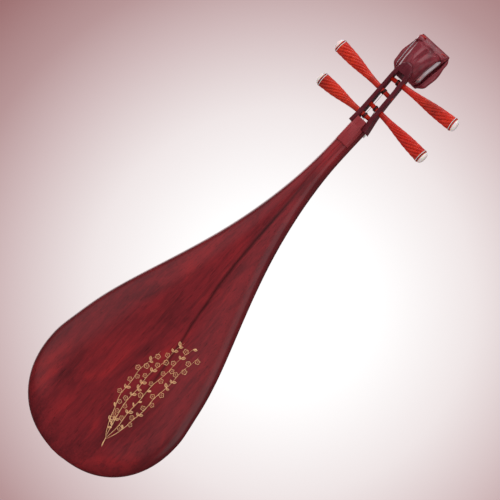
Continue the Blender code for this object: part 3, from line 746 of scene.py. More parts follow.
def pegbox_ring(height, grow=0.0):
    """One level of the pegbox: a rectangle with rounded corners about the leaning centre line."""
    half, front, back = (part(height) for part in PEGBOX_PARTS)
    middle = pegbox_centre(height)
    near, far = middle + front - grow, middle + back + grow
    wide = half + grow
    rounding = min(PEGBOX_ROUNDING, half * 0.55)
    ring = []
    corners = ((wide, near, -90), (wide, far, 0), (-wide, far, 90), (-wide, near, 180))
    for x, y, start in corners:
        cx = x - math.copysign(rounding, x)
        cy = y + rounding if y == near else y - rounding
        for step in range(6):
            angle = math.radians(start + 18 * step)
            ring.append((cx + rounding * math.cos(angle), cy + rounding * math.sin(angle), height))
    return ring


def make_pegbox():
    """The pegbox: two cheeks, a slot right through, a recess above it, and a tapered bore for each peg."""
    cheeks_to = 0.911
    levels = heights_between(PEGBOX[0][0], cheeks_to, 40) + heights_between(cheeks_to, PEGBOX[-1][0], 34)[1:]
    made = loft("pegbox_carved", [pegbox_ring(z) for z in levels], PEGBOX_LACQUER)
    rings = [[(-x, -0.05, z), (x, -0.05, z), (x, floor, z), (-x, floor, z)] for z, x, floor in THROAT]
    throat = loft("throat", rings)
    tongue = BLOCK_TONGUE_HALF + GAP
    socket = box("socket", (-tongue, BLOCK_SEAT, NECK_TOP - 0.01), (tongue, 0.08, BLOCK_TONGUE_TOP + GAP))
    slot = box("slot", (-SLOT_HALF, -0.02, SLOT_FROM), (SLOT_HALF, 0.12, SLOT_TO))
    recess = box("recess", (-RECESS_HALF, RECESS_FLOOR, SLOT_TO - 0.001), (RECESS_HALF, 0.12, RECESS_TO))
    cutters = [throat, socket, slot, recess]
    for number, *_ in PEGS:
        low, high = (shaft_radius(along) + BORE_PLAY for along in (-BORE_REACH, BORE_REACH))
        profile = [(0, -BORE_REACH), (low, -BORE_REACH), (high, BORE_REACH), (0, BORE_REACH)]
        bore = turned(f"bore_{number}", profile, 48)
        bore.data.transform(peg_matrix(number))
        cutters.append(bore)
    carved(made, cutters, 40)
    softened(made, 0.0006, 2, 50)
    even_normals(made)
    baked(made, 40)
    placed(made, "root", "lacquered_rosewood", "pegbox")


HEAD_PARTS = [smooth_through([(s[0], s[i]) for s in HEAD]) for i in range(1, 8)]
HEAD_FOOT, HEAD_TOP = HEAD[0][0], HEAD[-1][0]
HEAD_FOOT_ROUNDING, HEAD_TOP_ROUNDING = 0.0020, 0.0016
HEAD_SOCKET_FROM = 0.863
LEAF_THICKNESS = 0.0045
HOLLOW_REACH, HOLLOW_INNER, CREST_OUT = 0.011, 0.019, 0.0025
# The leaf's raised border, and the pale strip on it, a painted highlight: wide on the right, narrow on the left
LEAF_BORDER, BORDER_RISE = 0.0062, 0.0058
BEVEL_FROM, BEVEL_TO, BEVEL_TAPER = 0.9262, 0.9853, 0.006
BEVEL_STANDS, LEFT_BEVEL = 0.0012, 0.3
# Carving on the leaf's back: (width, depth) of each groove
CLEFT, FOLD, ROLL_CUT = (0.0022, 0.0042), (0.0085, 0.0030), (0.0020, 0.0036)
SHALLOW_CLEFT = 0.0010
ROLL_FOOT, ROLL_MARGIN = 0.9880, 0.0018


def groove(off, width):
    """The cross-section of a carved groove: 1 in its middle, falling to 0 beyond its width."""
    return math.exp(-((off / width) ** 2))


def leaf_relief(x, height, half):
    """The carving of the leaf's back: a cleft between two lobes, a soft fold below, a cut under the roll."""
    upper = step_between(0.945, 0.966, height) * (1 - step_between(0.983, 0.993, height))
    relief = -(SHALLOW_CLEFT + CLEFT[1] * upper) * groove(x, CLEFT[0])
    relief -= FOLD[1] * groove(x, FOLD[0]) * step_between(0.925, 0.965, height)
    swirl = 0.0006 * math.sin(2 * math.pi * (height - 0.930) / 0.034 + abs(x) * 190)
    relief += swirl * step_between(0.004, 0.014, abs(x)) * (1 - step_between(0.955, 0.975, height))
    share = abs(x) / half
    cut = ROLL_FOOT + 0.0012 * math.cos(share * 3 * math.pi) - 0.0035 * step_between(0.5, 1.0, share)
    relief -= ROLL_CUT[1] * groove(height - cut, ROLL_CUT[0])
    rise = (height - cut - ROLL_MARGIN) / (HEAD_TOP - cut - ROLL_MARGIN)
    if rise > 0:
        fullness = 0.0008 + 0.0026 * step_between(0.35, 0.8, share)
        relief += fullness * math.sin(math.pi * min(1.0, rise)) ** 0.6
    return relief


def leaf_border(height, leaf_back, leaf_edge):
    """The width of the leaf's border at a height, and how far it rises from its outer edge to its inner one."""
    border = LEAF_BORDER * (1 - 0.6 * step_between(0.982, 0.992, height))
    return border, min(BORDER_RISE, 0.5 * (leaf_back - leaf_edge))


def head_ring(height):
    """One level of the head: a lobed leaf with a rounded border, a hollow under each edge, and a full core."""
    at_height = [part(height) for part in HEAD_PARTS]
    leaf_half, leaf_back, leaf_edge, core_half, core_back, core_front, hollow = at_height
    border, rise = leaf_border(height, leaf_back, leaf_edge)
    inner_half = leaf_half - border
    shoulder = 1 - step_between(0.984, 0.990, height)
    back = []
    for i in range(85):
        x = leaf_half * math.cos(math.pi * i / 84)
        across = min(1.0, abs(x) / inner_half)
        y = leaf_edge + rise + (leaf_back - leaf_edge - rise) * (1 - across * across) ** 0.60
        strip = (abs(x) - inner_half) / border
        if strip > 0:
            y = leaf_edge + rise * (1 - strip) + 0.0005 * math.sin(math.pi * min(1.0, strip))
        y -= 0.0016 * groove(abs(x) - inner_half, 0.0008) * shoulder
        back.append((x, y + leaf_relief(x, height, leaf_half) * min(1.0, (leaf_half - abs(x)) / 0.002)))
    under = leaf_edge - LEAF_THICKNESS
    thick = core_back - core_front
    inner = max(HOLLOW_INNER, leaf_half - 0.002 - HOLLOW_REACH * hollow)
    crest = max(min(leaf_half + CREST_OUT, core_half - 0.004), inner + 0.002)
    floor = core_back - min(0.004 + 0.008 * hollow, 0.45 * thick)
    widest = core_back - min(0.011, 0.35 * thick)
    side = [(leaf_half - 0.0002, leaf_edge - 0.0012), (leaf_half - 0.0008, leaf_edge - 0.0030)]
    side += [(leaf_half - 0.0016, under), (inner + 0.0008, under - 0.0016), (inner, under - 0.0028)]
    side += [(inner, floor + 0.0012), (inner + 0.0004, floor + 0.0003)]
    wall = max(inner + 0.001, crest - 0.0035)
    side += [(wall, floor + 0.001), (wall + (crest - wall) * 0.45, floor + (core_back - floor) * 0.55)]
    side += [(wall + (crest - wall) * 0.72, floor + (core_back - floor) * 0.88), (crest, core_back)]
    for i in range(1, 12):
        angle = math.radians(90 * i / 12)
        x = crest + (core_half - crest) * math.sin(angle)
        side.append((x, widest + (core_back - widest) * math.cos(angle)))
    front = []
    for i in range(37):
        angle = math.pi * i / 36
        front.append((core_half * math.cos(angle), widest - (widest - core_front) * math.sin(angle)))
    ring = back + [(-x, y) for x, y in side] + [(-x, y) for x, y in front] + list(reversed(side))
    return [(x, y, height) for x, y in ring]


def shrunk(ring, share, height):
    """A ring drawn in towards its middle, for a rounded end."""
    middle = sum(p[1] for p in ring) / len(ring)
    return [(x * share, middle + (y - middle) * share, height) for x, y, _ in ring]


def make_head():
    """The carved head over the pegbox's end, with its curls and the pale strips on its border, which are painted
    highlights.
    """
    levels = heights_between(HEAD_FOOT + HEAD_FOOT_ROUNDING, HEAD_TOP - HEAD_TOP_ROUNDING, 104)
    rings = [head_ring(z) for z in levels]
    foot, top = [], []
    for step in range(4):
        angle = math.radians(22.5 * step)
        height = HEAD_FOOT + HEAD_FOOT_ROUNDING * (1 - math.cos(angle))
        foot.append(shrunk(rings[0], 0.94 + 0.06 * math.sin(angle), height))
    for step in range(1, 5):
        angle = math.radians(22.5 * step)
        height = HEAD_TOP - HEAD_TOP_ROUNDING * (1 - math.sin(angle))
        top.append(shrunk(rings[-1], 0.95 + 0.05 * math.cos(angle), height))
    made = loft("carved_head", [*foot, *rings, *top], SHEEN_CARVED_LACQUER, 60)
    levels = heights_between(HEAD_SOCKET_FROM, PEGBOX[-1][0], 40)
    rings = [pegbox_ring(z, GAP) for z in levels]
    carved(made, [loft("socket", [*rings, shrunk(rings[-1], 0.9, PEGBOX[-1][0] + 2 * GAP)])], 60)
    placed(made, "root", "lacquered_rosewood", "head")
    for side in (-1, 1):
        make_volute(side)
        make_bevel(side)


def make_bevel(side):
    """A painted highlight along one side of the leaf's border: a thin pale skin over the carving."""
    rings = []
    for z in heights_between(BEVEL_FROM + GAP, BEVEL_TO - GAP, 60):
        leaf_half, leaf_back, leaf_edge, *_ = (part(z) for part in HEAD_PARTS)
        ends = min(1.0, (z - BEVEL_FROM) / BEVEL_TAPER, (BEVEL_TO - z) / BEVEL_TAPER) ** 0.5
        border, rise = leaf_border(z, leaf_back, leaf_edge)
        wide = (border - 0.0008) * (1.0 if side < 0 else LEFT_BEVEL)
        middle, reach = leaf_half - 0.0004 - wide / 2, wide / 2 * ends
        slope = rise / border
        face = leaf_edge + slope * (leaf_half - middle) + BEVEL_STANDS
        outer, inner = middle + reach, middle - reach
        outer_face, inner_face = face - slope * reach, face + slope * reach
        top = [(outer, outer_face - 0.0002), (middle, face + 0.0003), (inner, inner_face - 0.0002)]
        low = [(inner, inner_face - 0.0024), (outer, outer_face - 0.0018)]
        ring = [(side * x, y, z) for x, y in top + low]
        rings.append(ring if side > 0 else list(reversed(ring)))
    name = "leaf_bevel_right" if side < 0 else "leaf_bevel_left"
    placed(loft(name, rings, HIGHLIGHT_SKIN, 50), "root", "lacquered_rosewood")


def make_volute(side):
    """The curl at one end of the roll along the head's top: a tapering spiral round a small boss."""
    leaf_edge = HEAD_PARTS[2](0.9945)
    centre = Vector((side * 0.0262, leaf_edge + 0.0062, 0.9952))
    outward = Vector((side * 0.42, 0.80, 0.42)).normalized()
    across = Vector((0, 0, 1)).cross(outward).normalized()
    up = outward.cross(across).normalized()
    turns, count, sides = 1.6, 72, 12
    rings = []
    for i in range(count + 1):
        share = i / count
        angle = side * (0.6 + 2 * math.pi * turns * share)
        reach = 0.0056 * (1 - share) ** 0.8 + 0.0006
        thick = 0.0019 * (1 - 0.55 * share)
        here = across * (reach * math.cos(angle) * 1.25) + up * (reach * math.sin(angle) * 0.85)
        here += outward * (0.0014 * share)
        radial = (across * math.cos(angle) + up * math.sin(angle)).normalized()
        rings.append([
            centre + here + (radial * math.cos(a) + outward * math.sin(a)) * thick
            for a in (2 * math.pi * k / sides for k in range(sides))
        ])
    name = "head_volute_right" if side < 0 else "head_volute_left"
    placed(loft(name, rings, LIT_VOLUTE_LACQUER, 60), "root", "lacquered_rosewood")


# Pegs


# Flutes on a handle: how many, their twist in radians a metre, and their depth as a share of the radius
FLUTES, FLUTE_TWIST, FLUTE_DEPTH = 10, -52.0, 0.24
HANDLE_ROUNDING = 0.0012
handle_radius = smooth_through(HANDLE_FLARE)
# The rings at a handle's end: where they start before the end, their length, and how far they stand out
RING_FROM, RING_LENGTH, RING_STANDS = 0.0030, 0.0011, 0.0003
CAP_RIM, CAP_EDGE = 0.0014, 0.0004


def make_peg(number, length):
    """A peg: a tapered shaft, and a handle with twisted flutes that flares towards its end."""
    start, end = SHOULDER + 0.001, SHOULDER + length
    sides, levels = 144, 72

    def ring(along, radius, carve=0.0):
        points = []
        for i in range(sides):
            angle = 2 * math.pi * i / sides
            wave = abs(math.sin(FLUTES / 2 * (angle - FLUTE_TWIST * (along - start))))
            reach = radius * (1 - FLUTE_DEPTH * carve * (1 - wave**0.55))
            points.append((reach * math.cos(angle), reach * math.sin(angle), along))
        return points

    rings = [
        ring(SHAFT_END, SHAFT_END_RADIUS - 0.0006),
        ring(SHAFT_END + 0.0006, SHAFT_END_RADIUS),
        ring(SHOULDER, SHOULDER_RADIUS),
    ]
    for i in range(levels):
        share = i / (levels - 1)
        carve = step_between(0.10, 0.34, share) * (1 - step_between(0.955, 0.985, share))
        rings.append(ring(start + (end - HANDLE_ROUNDING - start) * share, handle_radius(share), carve))
    rings += [ring(end - 0.0004, HANDLE_RADIUS - 0.0003), ring(end, HANDLE_RADIUS - 0.0010)]
    made = loft(f"twisted_peg_{number}", rings, PEG_LACQUER, 50)
    made.data.transform(peg_matrix(number))
    placed(made, f"tuning_peg_{number}", "peg_wood", f"peg_{number}")


def make_peg_end(number, length):
    """The peg's end: a dark ring let into the wood, a bone ring and a domed bone button."""
    body = f"tuning_peg_{number}"
    end = SHOULDER + length
    ring_start, ring_end = end - RING_FROM, end - RING_FROM + RING_LENGTH
    edge = HANDLE_RADIUS + 0.00005
    ring = [(0, ring_start), (edge, ring_start)]
    for share in (0.25, 0.5, 0.75):
        ring.append((HANDLE_RADIUS + RING_STANDS, ring_start + RING_LENGTH * share))
    ring += [(edge, ring_end), (0, ring_end)]
    rings = (("inlay_ring", -0.0007, BONE, "bone"), ("inlay_line", 0.0005, DARK_RING, "peg_wood"))
    for name, shift, finish, slot in rings:
        profile = [(radius, along + shift) for radius, along in ring]
        made = turned(f"{name}_{number}", profile, 72, finish)
        made.data.transform(peg_matrix(number))
        placed(made, body, slot)
    base = end + GAP
    profile = [(0, base), (CAP_RADIUS - CAP_EDGE, base)]
    profile += [(CAP_RADIUS, base + CAP_EDGE), (CAP_RADIUS, base + CAP_RIM)]
    for step in range(1, 13):
        angle = math.radians(7.5 * step)
        radius = CAP_RADIUS * math.cos(angle) ** 0.8
        profile.append((radius, base + CAP_RIM + (CAP_LENGTH - CAP_RIM) * math.sin(angle)))
    profile[-1] = (0, base + CAP_LENGTH)
    made = turned(f"bone_button_{number}", profile, 72, BONE, 60)
    made.data.transform(peg_matrix(number))
    placed(made, body, "bone", f"peg_cap_{number}")


def tube(name, points, radius, finish):
    """A round tube along points, as a mesh with capped ends."""
    curve = bpy.data.curves.new(name, "CURVE")
    curve.dimensions = "3D"
    curve.bevel_depth = radius
    curve.bevel_resolution = 1
    curve.use_fill_caps = True
    line = curve.splines.new("POLY")
    line.points.add(len(points) - 1)
    for point, place in zip(line.points, points):
        point.co = (*place, 1)
    made = bpy.data.objects.new(name, curve)
    bpy.context.scene.collection.objects.link(made)
    bpy.context.view_layer.update()
    data = bpy.data.meshes.new_from_object(made.evaluated_get(bpy.context.evaluated_depsgraph_get()))
    bpy.data.objects.remove(made, do_unlink=True)
    bpy.data.curves.remove(curve)
    return add(name, data, finish, 60)


def make_winding(number):
    """Turns of string side by side on the peg, in one coil."""
    middle = WINDING_AT[number]
    wire = min(0.00055, max(0.00045, STRINGS[number][2]))
    inner = shaft_radius(middle + WINDING_LENGTH) + GAP
    turns = int(WINDING_LENGTH / (2.04 * wire))
    start = middle - WINDING_LENGTH / 2 + wire
    run = WINDING_LENGTH - 2 * wire
    matrix = peg_matrix(number)
    points = []
    count = turns * 28
    for i in range(count + 1):
        angle = 2 * math.pi * turns * i / count
        x, y = ((inner + wire) * part(angle) for part in (math.cos, math.sin))
        points.append(matrix @ Vector((x, y, start + run * i / count)))
    made = tube(f"string_coil_{number}", points, wire, WOUND_WIRE)
    placed(made, f"tuning_peg_{number}", "string_wire", f"string_winding_{number}")


# Nut, string holder and string ends


def arched_bar(name, half, height_at, low, high, rounding, slices, steps):
    """A bone bar across the instrument, its outer edge rounded and as high at each place as height_at says."""
    middle, reach = (low + high) / 2, (high - low) / 2
    rings = []
    for i in range(slices + 1):
        x = -half + 2 * half * i / slices
        top = height_at(x)
        ring = [(x, -GAP, low), (x, -GAP, high)]
        for step in range(steps + 1):
            angle = math.pi * step / steps
            ring.append((x, rounding - rounding * math.sin(angle) - top, middle + reach * math.cos(angle)))
        rings.append(ring)
    return loft(name, rings, BONE, 40)


def make_nut():
    """The nut: a bone bar with a rounded top and a groove for each string."""
    def height_at(x):
        near = min(abs(x - s[0]) for s in STRINGS.values())
        return NUT_HEIGHT - 0.0009 * (x / NUT_HALF) ** 2 - 0.00035 * groove(near, 0.0006)

    made = arched_bar("grooved_nut", NUT_HALF, height_at, NUT_FROM, NUT_TO, 0.0016, 64, 8)
    placed(made, "root", "bone", "nut")


def make_holder():
    """The string holder: a carved bar with curled ends and a sloping front, glued to the soundboard."""
    right = [
        (0.000, 0.0445), (0.018, 0.0452), (0.036, 0.0455), (0.050, 0.0462), (0.0555, 0.0480), (0.0570, 0.0505),
        (0.0562, 0.0530), (0.0540, 0.0547), (0.0515, 0.0545), (0.0500, 0.0560), (0.0490, 0.0590), (0.0455, 0.0612),
        (0.0430, 0.0618), (0.0415, 0.0640), (0.0385, 0.0668), (0.0345, HOLDER_TO), (0.012, HOLDER_TO),
    ]
    right = [(x, max(HOLDER_FROM, z)) for x, z in right]
    outline = right + [(-x, z) for x, z in reversed(right) if x > 0]
    low = [(x, -GAP, z) for x, z in outline]
    swell = [(x, -GAP - (HOLDER_HEIGHT - GAP) * 0.55, z) for x, z in outline]
    centre = (HOLDER_FROM + HOLDER_TO) / 2
    top = [(x * 0.985, -HOLDER_HEIGHT, centre + (z - centre) * 0.86) for x, z in outline]
    made = loft("carved_string_holder", [low, swell, top], HOLDER_LACQUER, 30)
    softened(made, 0.0011, 3, 35)
    baked(made, 35)
    placed(made, "root", "lacquered_rosewood", "string_holder")


def make_facing():
    """The bone strip that the strings come out of, with a row of holes and an arched top."""
    def height_at(x):
        return FACING_HEIGHT - 0.0012 * (x / FACING_HALF) ** 2

    made = arched_bar("holder_bone_facing", FACING_HALF, height_at, FACING_FROM, FACING_TO, 0.0014, 48, 6)
    cutters = []
    start, end, hole_radius = FACING_FROM - 0.004, FACING_TO + 0.004, 0.0012
    for number, (_, x, _) in STRINGS.items():
        profile = [(0, start), (hole_radius, start), (hole_radius, end), (0, end)]
        hole = turned(f"hole_{number}", profile, 24)
        hole.data.transform(Matrix.Translation((x, -HOLDER_STRING_HEIGHT, 0)))
        cutters.append(hole)
    carved(made, cutters, 40)
    placed(made, "root", "bone", "holder_facing")


def make_string_tie(number):
    """The loop that ties a string back over the facing, with its short knotted end."""
    _, x, radius = STRINGS[number]
    radius = max(radius, 0.00045)
    top = -FACING_HEIGHT - radius * 1.1
    low = -HOLDER_STRING_HEIGHT - 0.0012
    points = []
    for share in np.linspace(0, 1, 25):
        angle = math.pi * share
        z = (FACING_FROM + FACING_TO) / 2 + (FACING_TO - FACING_FROM + 0.0016) / 2 * math.cos(angle)
        y = low + (top - low) * math.sin(angle) ** 0.45
        points.append(Vector((x + 0.0004 * math.sin(angle * 2), y, z)))
    made = tube(f"string_loop_{number}", points, radius, WIRE)
    placed(made, "root", "string_wire")
    knot = []
    for i in range(61):
        angle = 2 * math.pi * 2.5 * i / 60
        reach = radius * 1.9
        z = FACING_TO + 0.0016 + radius * 0.8 * angle / math.pi
        knot.append(Vector((x + reach * math.cos(angle), -HOLDER_STRING_HEIGHT + reach * math.sin(angle), z)))
    made = tube(f"string_knot_{number}", knot, radius * 0.85, WIRE)
    placed(made, "root", "string_wire")


# Gilt decoration


# A stroke of paint: how deep it reaches under the surface, and how high its edges and middle stand
PAINT_SUNK, PAINT_EDGE, PAINT_CREST = 0.0002, 0.00010, 0.00022


class Sprig:
    """Brush strokes in gold paint laid on the curved back."""

    def __init__(self):
        self.shape = bmesh.new()

    def place(self, x, z, lift):
        """The point above the back at (x, z), lifted along the surface's normal."""
        y = back_surface(x, z)
        e = 0.0004
        slope_x = (back_surface(x + e, z) - back_surface(x - e, z)) / (2 * e)
        slope_z = (back_surface(x, z + e) - back_surface(x, z - e)) / (2 * e)
        normal = Vector((-slope_x, 1.0, -slope_z)).normalized()
        return Vector((x, y, z)) + normal * lift

    def stroke(self, points, width, taper_in=0.35, taper_out=0.35):
        """A stroke through (x, z) points, thin at its ends, as a thin closed solid."""
        total, at = along_line(points)
        count = max(4, int(total / 0.0011))
        e = total * 0.02
        rows = []
        for i in range(count + 1):
            along = total * i / count
            here = Vector(at(along))
            direction = (Vector(at(min(total, along + e))) - Vector(at(max(0, along - e)))).normalized()
            side = Vector((-direction.y, direction.x))
            share = i / count
            thick = min(1.0, 0.25 + share / taper_in, 0.25 + (1 - share) / taper_out)
            reach = width / 2 * thick
            left, right = here + side * reach, here - side * reach
            section = (
                (left, -PAINT_SUNK), (left, PAINT_EDGE), (here, PAINT_CREST),
                (right, PAINT_EDGE), (right, -PAINT_SUNK),
            )
            rows.append([self.shape.verts.new(self.place(*spot, lift)) for spot, lift in section])
        skin(self.shape, rows)
        self.shape.faces.new(rows[0])
        self.shape.faces.new(rows[-1])

    def blossom(self, x, z, size, turn):
        """Five open petals, each two short strokes, with dots for stamens."""
        for petal in range(5):
            angle = turn + 2 * math.pi * petal / 5
            points = []
            for step in range(9):
                swing = math.radians(-105 + 210 * step / 8)
                reach = size * (0.55 + 0.45 * math.cos(swing))
                spread = size * 0.42 * math.sin(swing)
                dx, dz = swung(angle, reach, spread)
                points.append((x + dx, z + dz))
            self.stroke(points, size * 0.17)
        for dot in range(5):
            angle = turn + 2 * math.pi * (dot + 0.5) / 5
            dx, dz = swung(angle, size * 0.30, 0)
            self.stroke([(x + dx * 0.3, z + dz * 0.3), (x + dx, z + dz)], size * 0.12)

    def leaf(self, x, z, length, angle):
        """A slim leaf: two arched strokes from stem to tip and a vein."""
        for bow in (-0.22, 0.22):
            points = []
            for step in range(8):
                share = step / 7
                off = bow * length * math.sin(math.pi * share)
                dx, dz = swung(angle, length * share, off)
                points.append((x + dx, z + dz))
            self.stroke(points, length * 0.13)
        dx, dz = swung(angle, length * 0.8, 0)
        self.stroke([(x, z), (x + dx, z + dz)], length * 0.07)


# The branch's upright twigs: where each runs across and up the back
TWIGS = (
    ((-0.056, 0.080), (-0.034, 0.118), (-0.022, 0.158), (-0.017, 0.205), (-0.021, 0.262)),
    ((-0.056, 0.080), (-0.043, 0.120), (-0.037, 0.170), (-0.036, 0.225), (-0.043, 0.302)),
    ((-0.056, 0.080), (-0.056, 0.130), (-0.053, 0.185), (-0.056, 0.245), (-0.061, 0.306)),
    ((-0.056, 0.080), (-0.069, 0.122), (-0.072, 0.175), (-0.074, 0.235), (-0.078, 0.300)),
)
SPRAY_GAP = 0.0135


def make_sprig():
    """A generic flowering branch in gold: four upright twigs, set with blossoms, buds and small leaves."""
    full_turn = 6.28
    draw = random.Random(11)
    sprig = Sprig()
    sprig.stroke([(-0.060, 0.066), (-0.057, 0.074), (-0.055, 0.084)], 0.0018, 0.3, 0.8)
    for number, twig in enumerate(TWIGS):
        total, at = along_line(twig)
        places = np.linspace(0, total, 40)
        line = []
        for place in places:
            x, z = at(place)
            line.append((x + 0.0012 * math.sin(place * 95 + number), z))
        sprig.stroke(line, 0.0009, 0.1, 0.9)
        along = 0.022 + 0.005 * number
        side = 1 if number % 2 else -1
        while along < total + 0.001:
            x, z = (float(np.interp(along, places, [q[i] for q in line])) for i in (0, 1))
            kind = draw.choice(("blossom", "leaves", "blossom", "bud"))
            off = side * draw.uniform(0.0030, 0.0050)
            if kind == "blossom":
                sprig.blossom(x + off, z, draw.uniform(0.0040, 0.0048), draw.uniform(0, full_turn))
            elif kind == "leaves":
                sprig.leaf(x, z, draw.uniform(0.0075, 0.0095), math.pi / 2 - side * draw.uniform(0.6, 0.9))
                length = draw.uniform(0.0065, 0.0085)
                sprig.leaf(x, z - 0.002, length, math.pi / 2 + side * draw.uniform(0.7, 1.1))
            else:
                sprig.leaf(x, z, draw.uniform(0.0060, 0.0080), math.pi / 2 - side * draw.uniform(0.8, 1.1))
                sprig.stroke([(x, z - 0.001), (x + off * 0.8, z + 0.002)], 0.0007)
                sprig.stroke([(x + off * 0.8, z + 0.002), (x + off * 1.1, z + 0.0048)], 0.0022)
            along += SPRAY_GAP * draw.uniform(0.85, 1.15)
            side = -side
    data = to_mesh("gilt_sprig", sprig.shape)
    placed(add("gilt_sprig", data, GILT, 60), "root", "lacquered_rosewood")


# Finishes of the CAD nodes that stay


def finish_nodes():
    """Gives the CAD nodes that nothing replaces their materials."""
    finishes = {"soundboard": PAULOWNIA, "lower_brace": SPRUCE, "middle_brace": SPRUCE, "upper_brace": SPRUCE}
    finishes |= {f"sound_post_{number}": SPRUCE for number in range(1, 4)}
    finishes |= {f"string_{number}": WIRE for number in STRINGS}
    finishes |= {f"wedge_fret_{number}": HORN for number in range(1, 7)}
    finishes |= {f"bamboo_fret_{number:02d}": BAMBOO for number in range(1, 25)}
    for name, finish in finishes.items():
        coat(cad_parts[name].data, finish)


# Stage, lights and camera


# The wall's own light, outwards from its brightest place: distance, colour
WALL_GLOW = (
    (0.0, (1.00, 1.00, 1.00)),
    (0.42, (0.98, 0.98, 0.98)),
    (0.84, (0.820, 0.760, 0.762)),
    (1.20, (0.600, 0.470, 0.478)),
    (1.46, (0.430, 0.270, 0.276)),
    (1.78, (0.290, 0.125, 0.128)),
    (2.30, (0.330, 0.180, 0.182)),
    (5.50, (0.640, 0.560, 0.560)),
)
STAGE_RADIUS, STAGE_CORNER, STAGE_FLOOR, STAGE_TOP = 14.0, 0.9, -2.1, 15.0


def glowing_backdrop():
    """Matt pale paper that glows by its own emission, a painted pool of light brightest at one place on the wall.
    """
    n = Nodes("glowing_backdrop")
    brightest = Vector(around(BACKDROP_AZIMUTH, STAGE_RADIUS, 0.44))
    away = n.node("ShaderNodeVectorMath", operation="DISTANCE")
    n.link(n.place, away.inputs[0])
    away.inputs[1].default_value = brightest + WALL_SHIFT * Vector(around(BACKDROP_AZIMUTH + 270, 1.0, 0.0))
    last = WALL_GLOW[-1][0]
    stops = [(distance / last, colour) for distance, colour in WALL_GLOW]
    glow = n.ramp(n.ranged(away.outputs["Value"], 0.0, 1.0, 0.0, last), stops)
    n.set(Base_Color=(0.07, 0.06, 0.06), Roughness=0.9, Emission_Color=glow, Emission_Strength=1.0)
    return n.material


def make_stage():
    """A round floor that curves up into a wall and a dome, so that no horizon shows from any side."""
    wall_from = STAGE_FLOOR + STAGE_CORNER
    profile = [(0.0, STAGE_FLOOR), (1.0, STAGE_FLOOR), (STAGE_RADIUS - STAGE_CORNER, STAGE_FLOOR)]
    for step in range(1, 17):
        angle = math.radians(90 * step / 16)
        rise = STAGE_CORNER * (1 - math.cos(angle))
        profile.append((STAGE_RADIUS - STAGE_CORNER * (1 - math.sin(angle)), STAGE_FLOOR + rise))
    for step in range(1, 16):
        angle = math.radians(90 * step / 16)
        profile.append((STAGE_RADIUS * math.cos(angle), wall_from + (STAGE_TOP - wall_from) * math.sin(angle)))
    profile.append((0.0, STAGE_TOP))
    stage = turned("studio_bowl", profile, 96, glowing_backdrop(), 60)
    stage.data.flip_normals()
    stage.visible_glossy = False


def soft_box(name, place, size, power):
    """A square lamp aimed at the instrument's middle, which the lacquer doesn't reflect."""
    data = bpy.data.lights.new(name, "AREA")
    data.spread = math.radians(60)
    data.shape = "RECTANGLE"
    data.size = data.size_y = size
    data.energy = power
    lamp = bpy.data.objects.new(name, data)
    bpy.context.scene.collection.objects.link(lamp)
    towards = (Vector((0, 0, 0.5)) - Vector(place)).normalized()
    lamp.matrix_world = Matrix.Translation(place) @ towards.to_track_quat("-Z", "Y").to_matrix().to_4x4()
    lamp.visible_glossy = False


def around(azimuth, distance, height):
    """A place round the instrument: azimuth 0 is in front of the soundboard, 180 behind the back."""
    angle = math.radians(azimuth)
    return (math.sin(angle) * distance, -math.cos(angle) * distance, height)


def make_lights():
    """Two soft lamps, one on each side of the instrument, and what surrounds them."""
    soft_box("key_box", around(176, 1.7, 2.5), 1.5, 3.6)
    soft_box("front_box", around(15, 1.9, 2.6), 1.6, 4.0)
    make_surroundings()


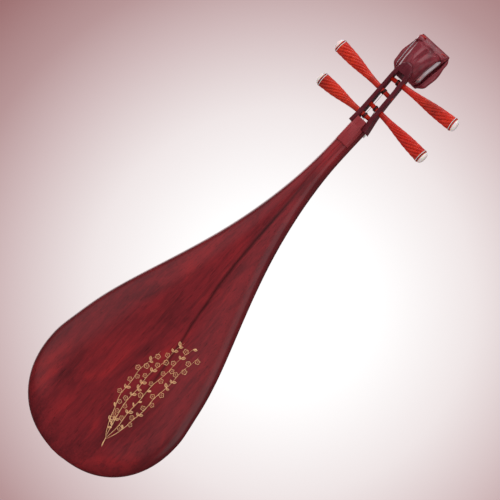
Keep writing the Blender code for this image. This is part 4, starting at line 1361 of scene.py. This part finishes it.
def make_surroundings():
    """What the lacquer reflects: the soft patches of light in SURROUNDINGS."""
    world = bpy.context.scene.world or bpy.data.worlds.new("studio")
    bpy.context.scene.world = world
    world.use_nodes = True
    tree = world.node_tree
    place = tree.nodes.new("ShaderNodeTexCoord").outputs["Generated"]

    def glow(azimuth, elevation, outer, inner, strength):
        """A soft round patch of light in one direction, from its outer to its inner angle."""
        rise = math.radians(elevation)
        aim = Vector(around(azimuth, math.cos(rise), math.sin(rise)))
        towards = tree.nodes.new("ShaderNodeVectorMath")
        towards.operation = "DOT_PRODUCT"
        towards.inputs[1].default_value = aim
        tree.links.new(place, towards.inputs[0])
        spread = tree.nodes.new("ShaderNodeMapRange")
        spread.interpolation_type = "SMOOTHSTEP"
        ends = (math.cos(math.radians(outer)), math.cos(math.radians(inner)), 0.0, strength)
        for key, value in zip(("From Min", "From Max", "To Min", "To Max"), ends):
            spread.inputs[key].default_value = value
        tree.links.new(towards.outputs["Value"], spread.inputs["Value"])
        return spread.outputs["Result"]

    total = None
    for patch in SURROUNDINGS:
        value = glow(*patch)
        if total is not None:
            sum_node = tree.nodes.new("ShaderNodeMath")
            sum_node.operation = "ADD"
            tree.links.new(total, sum_node.inputs[0])
            tree.links.new(value, sum_node.inputs[1])
            value = sum_node.outputs["Value"]
        total = value
    background = tree.nodes["Background"]
    background.inputs["Color"].default_value = (1.0, 0.90, 0.92, 1.0)
    tree.links.new(total, background.inputs["Strength"])


def make_camera():
    data = bpy.data.cameras.new("camera")
    data.lens = LENS
    data.sensor_width = SENSOR
    data.clip_end = 100
    camera = bpy.data.objects.new("camera", data)
    bpy.context.scene.collection.objects.link(camera)
    away = Vector((math.sin(CAMERA_AZIMUTH), -math.cos(CAMERA_AZIMUTH), 0))
    distance = SEEN_WIDTH * LENS / SENSOR
    turn = (-away).to_track_quat("-Z", "Y").to_matrix().to_4x4() @ Matrix.Rotation(CAMERA_ROLL, 4, "Z")
    camera.matrix_world = Matrix.Translation(CAMERA_AIM + away * distance) @ turn
    bpy.context.scene.camera = camera


make_camera()
make_stage()
make_lights()
make_back()
make_neck_block()
make_pegbox()
make_head()
for peg_number, _, _, _, peg_length in PEGS:
    make_peg(peg_number, peg_length)
    make_peg_end(peg_number, peg_length)
    make_winding(peg_number)
    make_string_tie(peg_number)
make_nut()
make_holder()
make_facing()
make_sprig()
finish_nodes()
bpy.context.scene.view_settings.view_transform = "Standard"
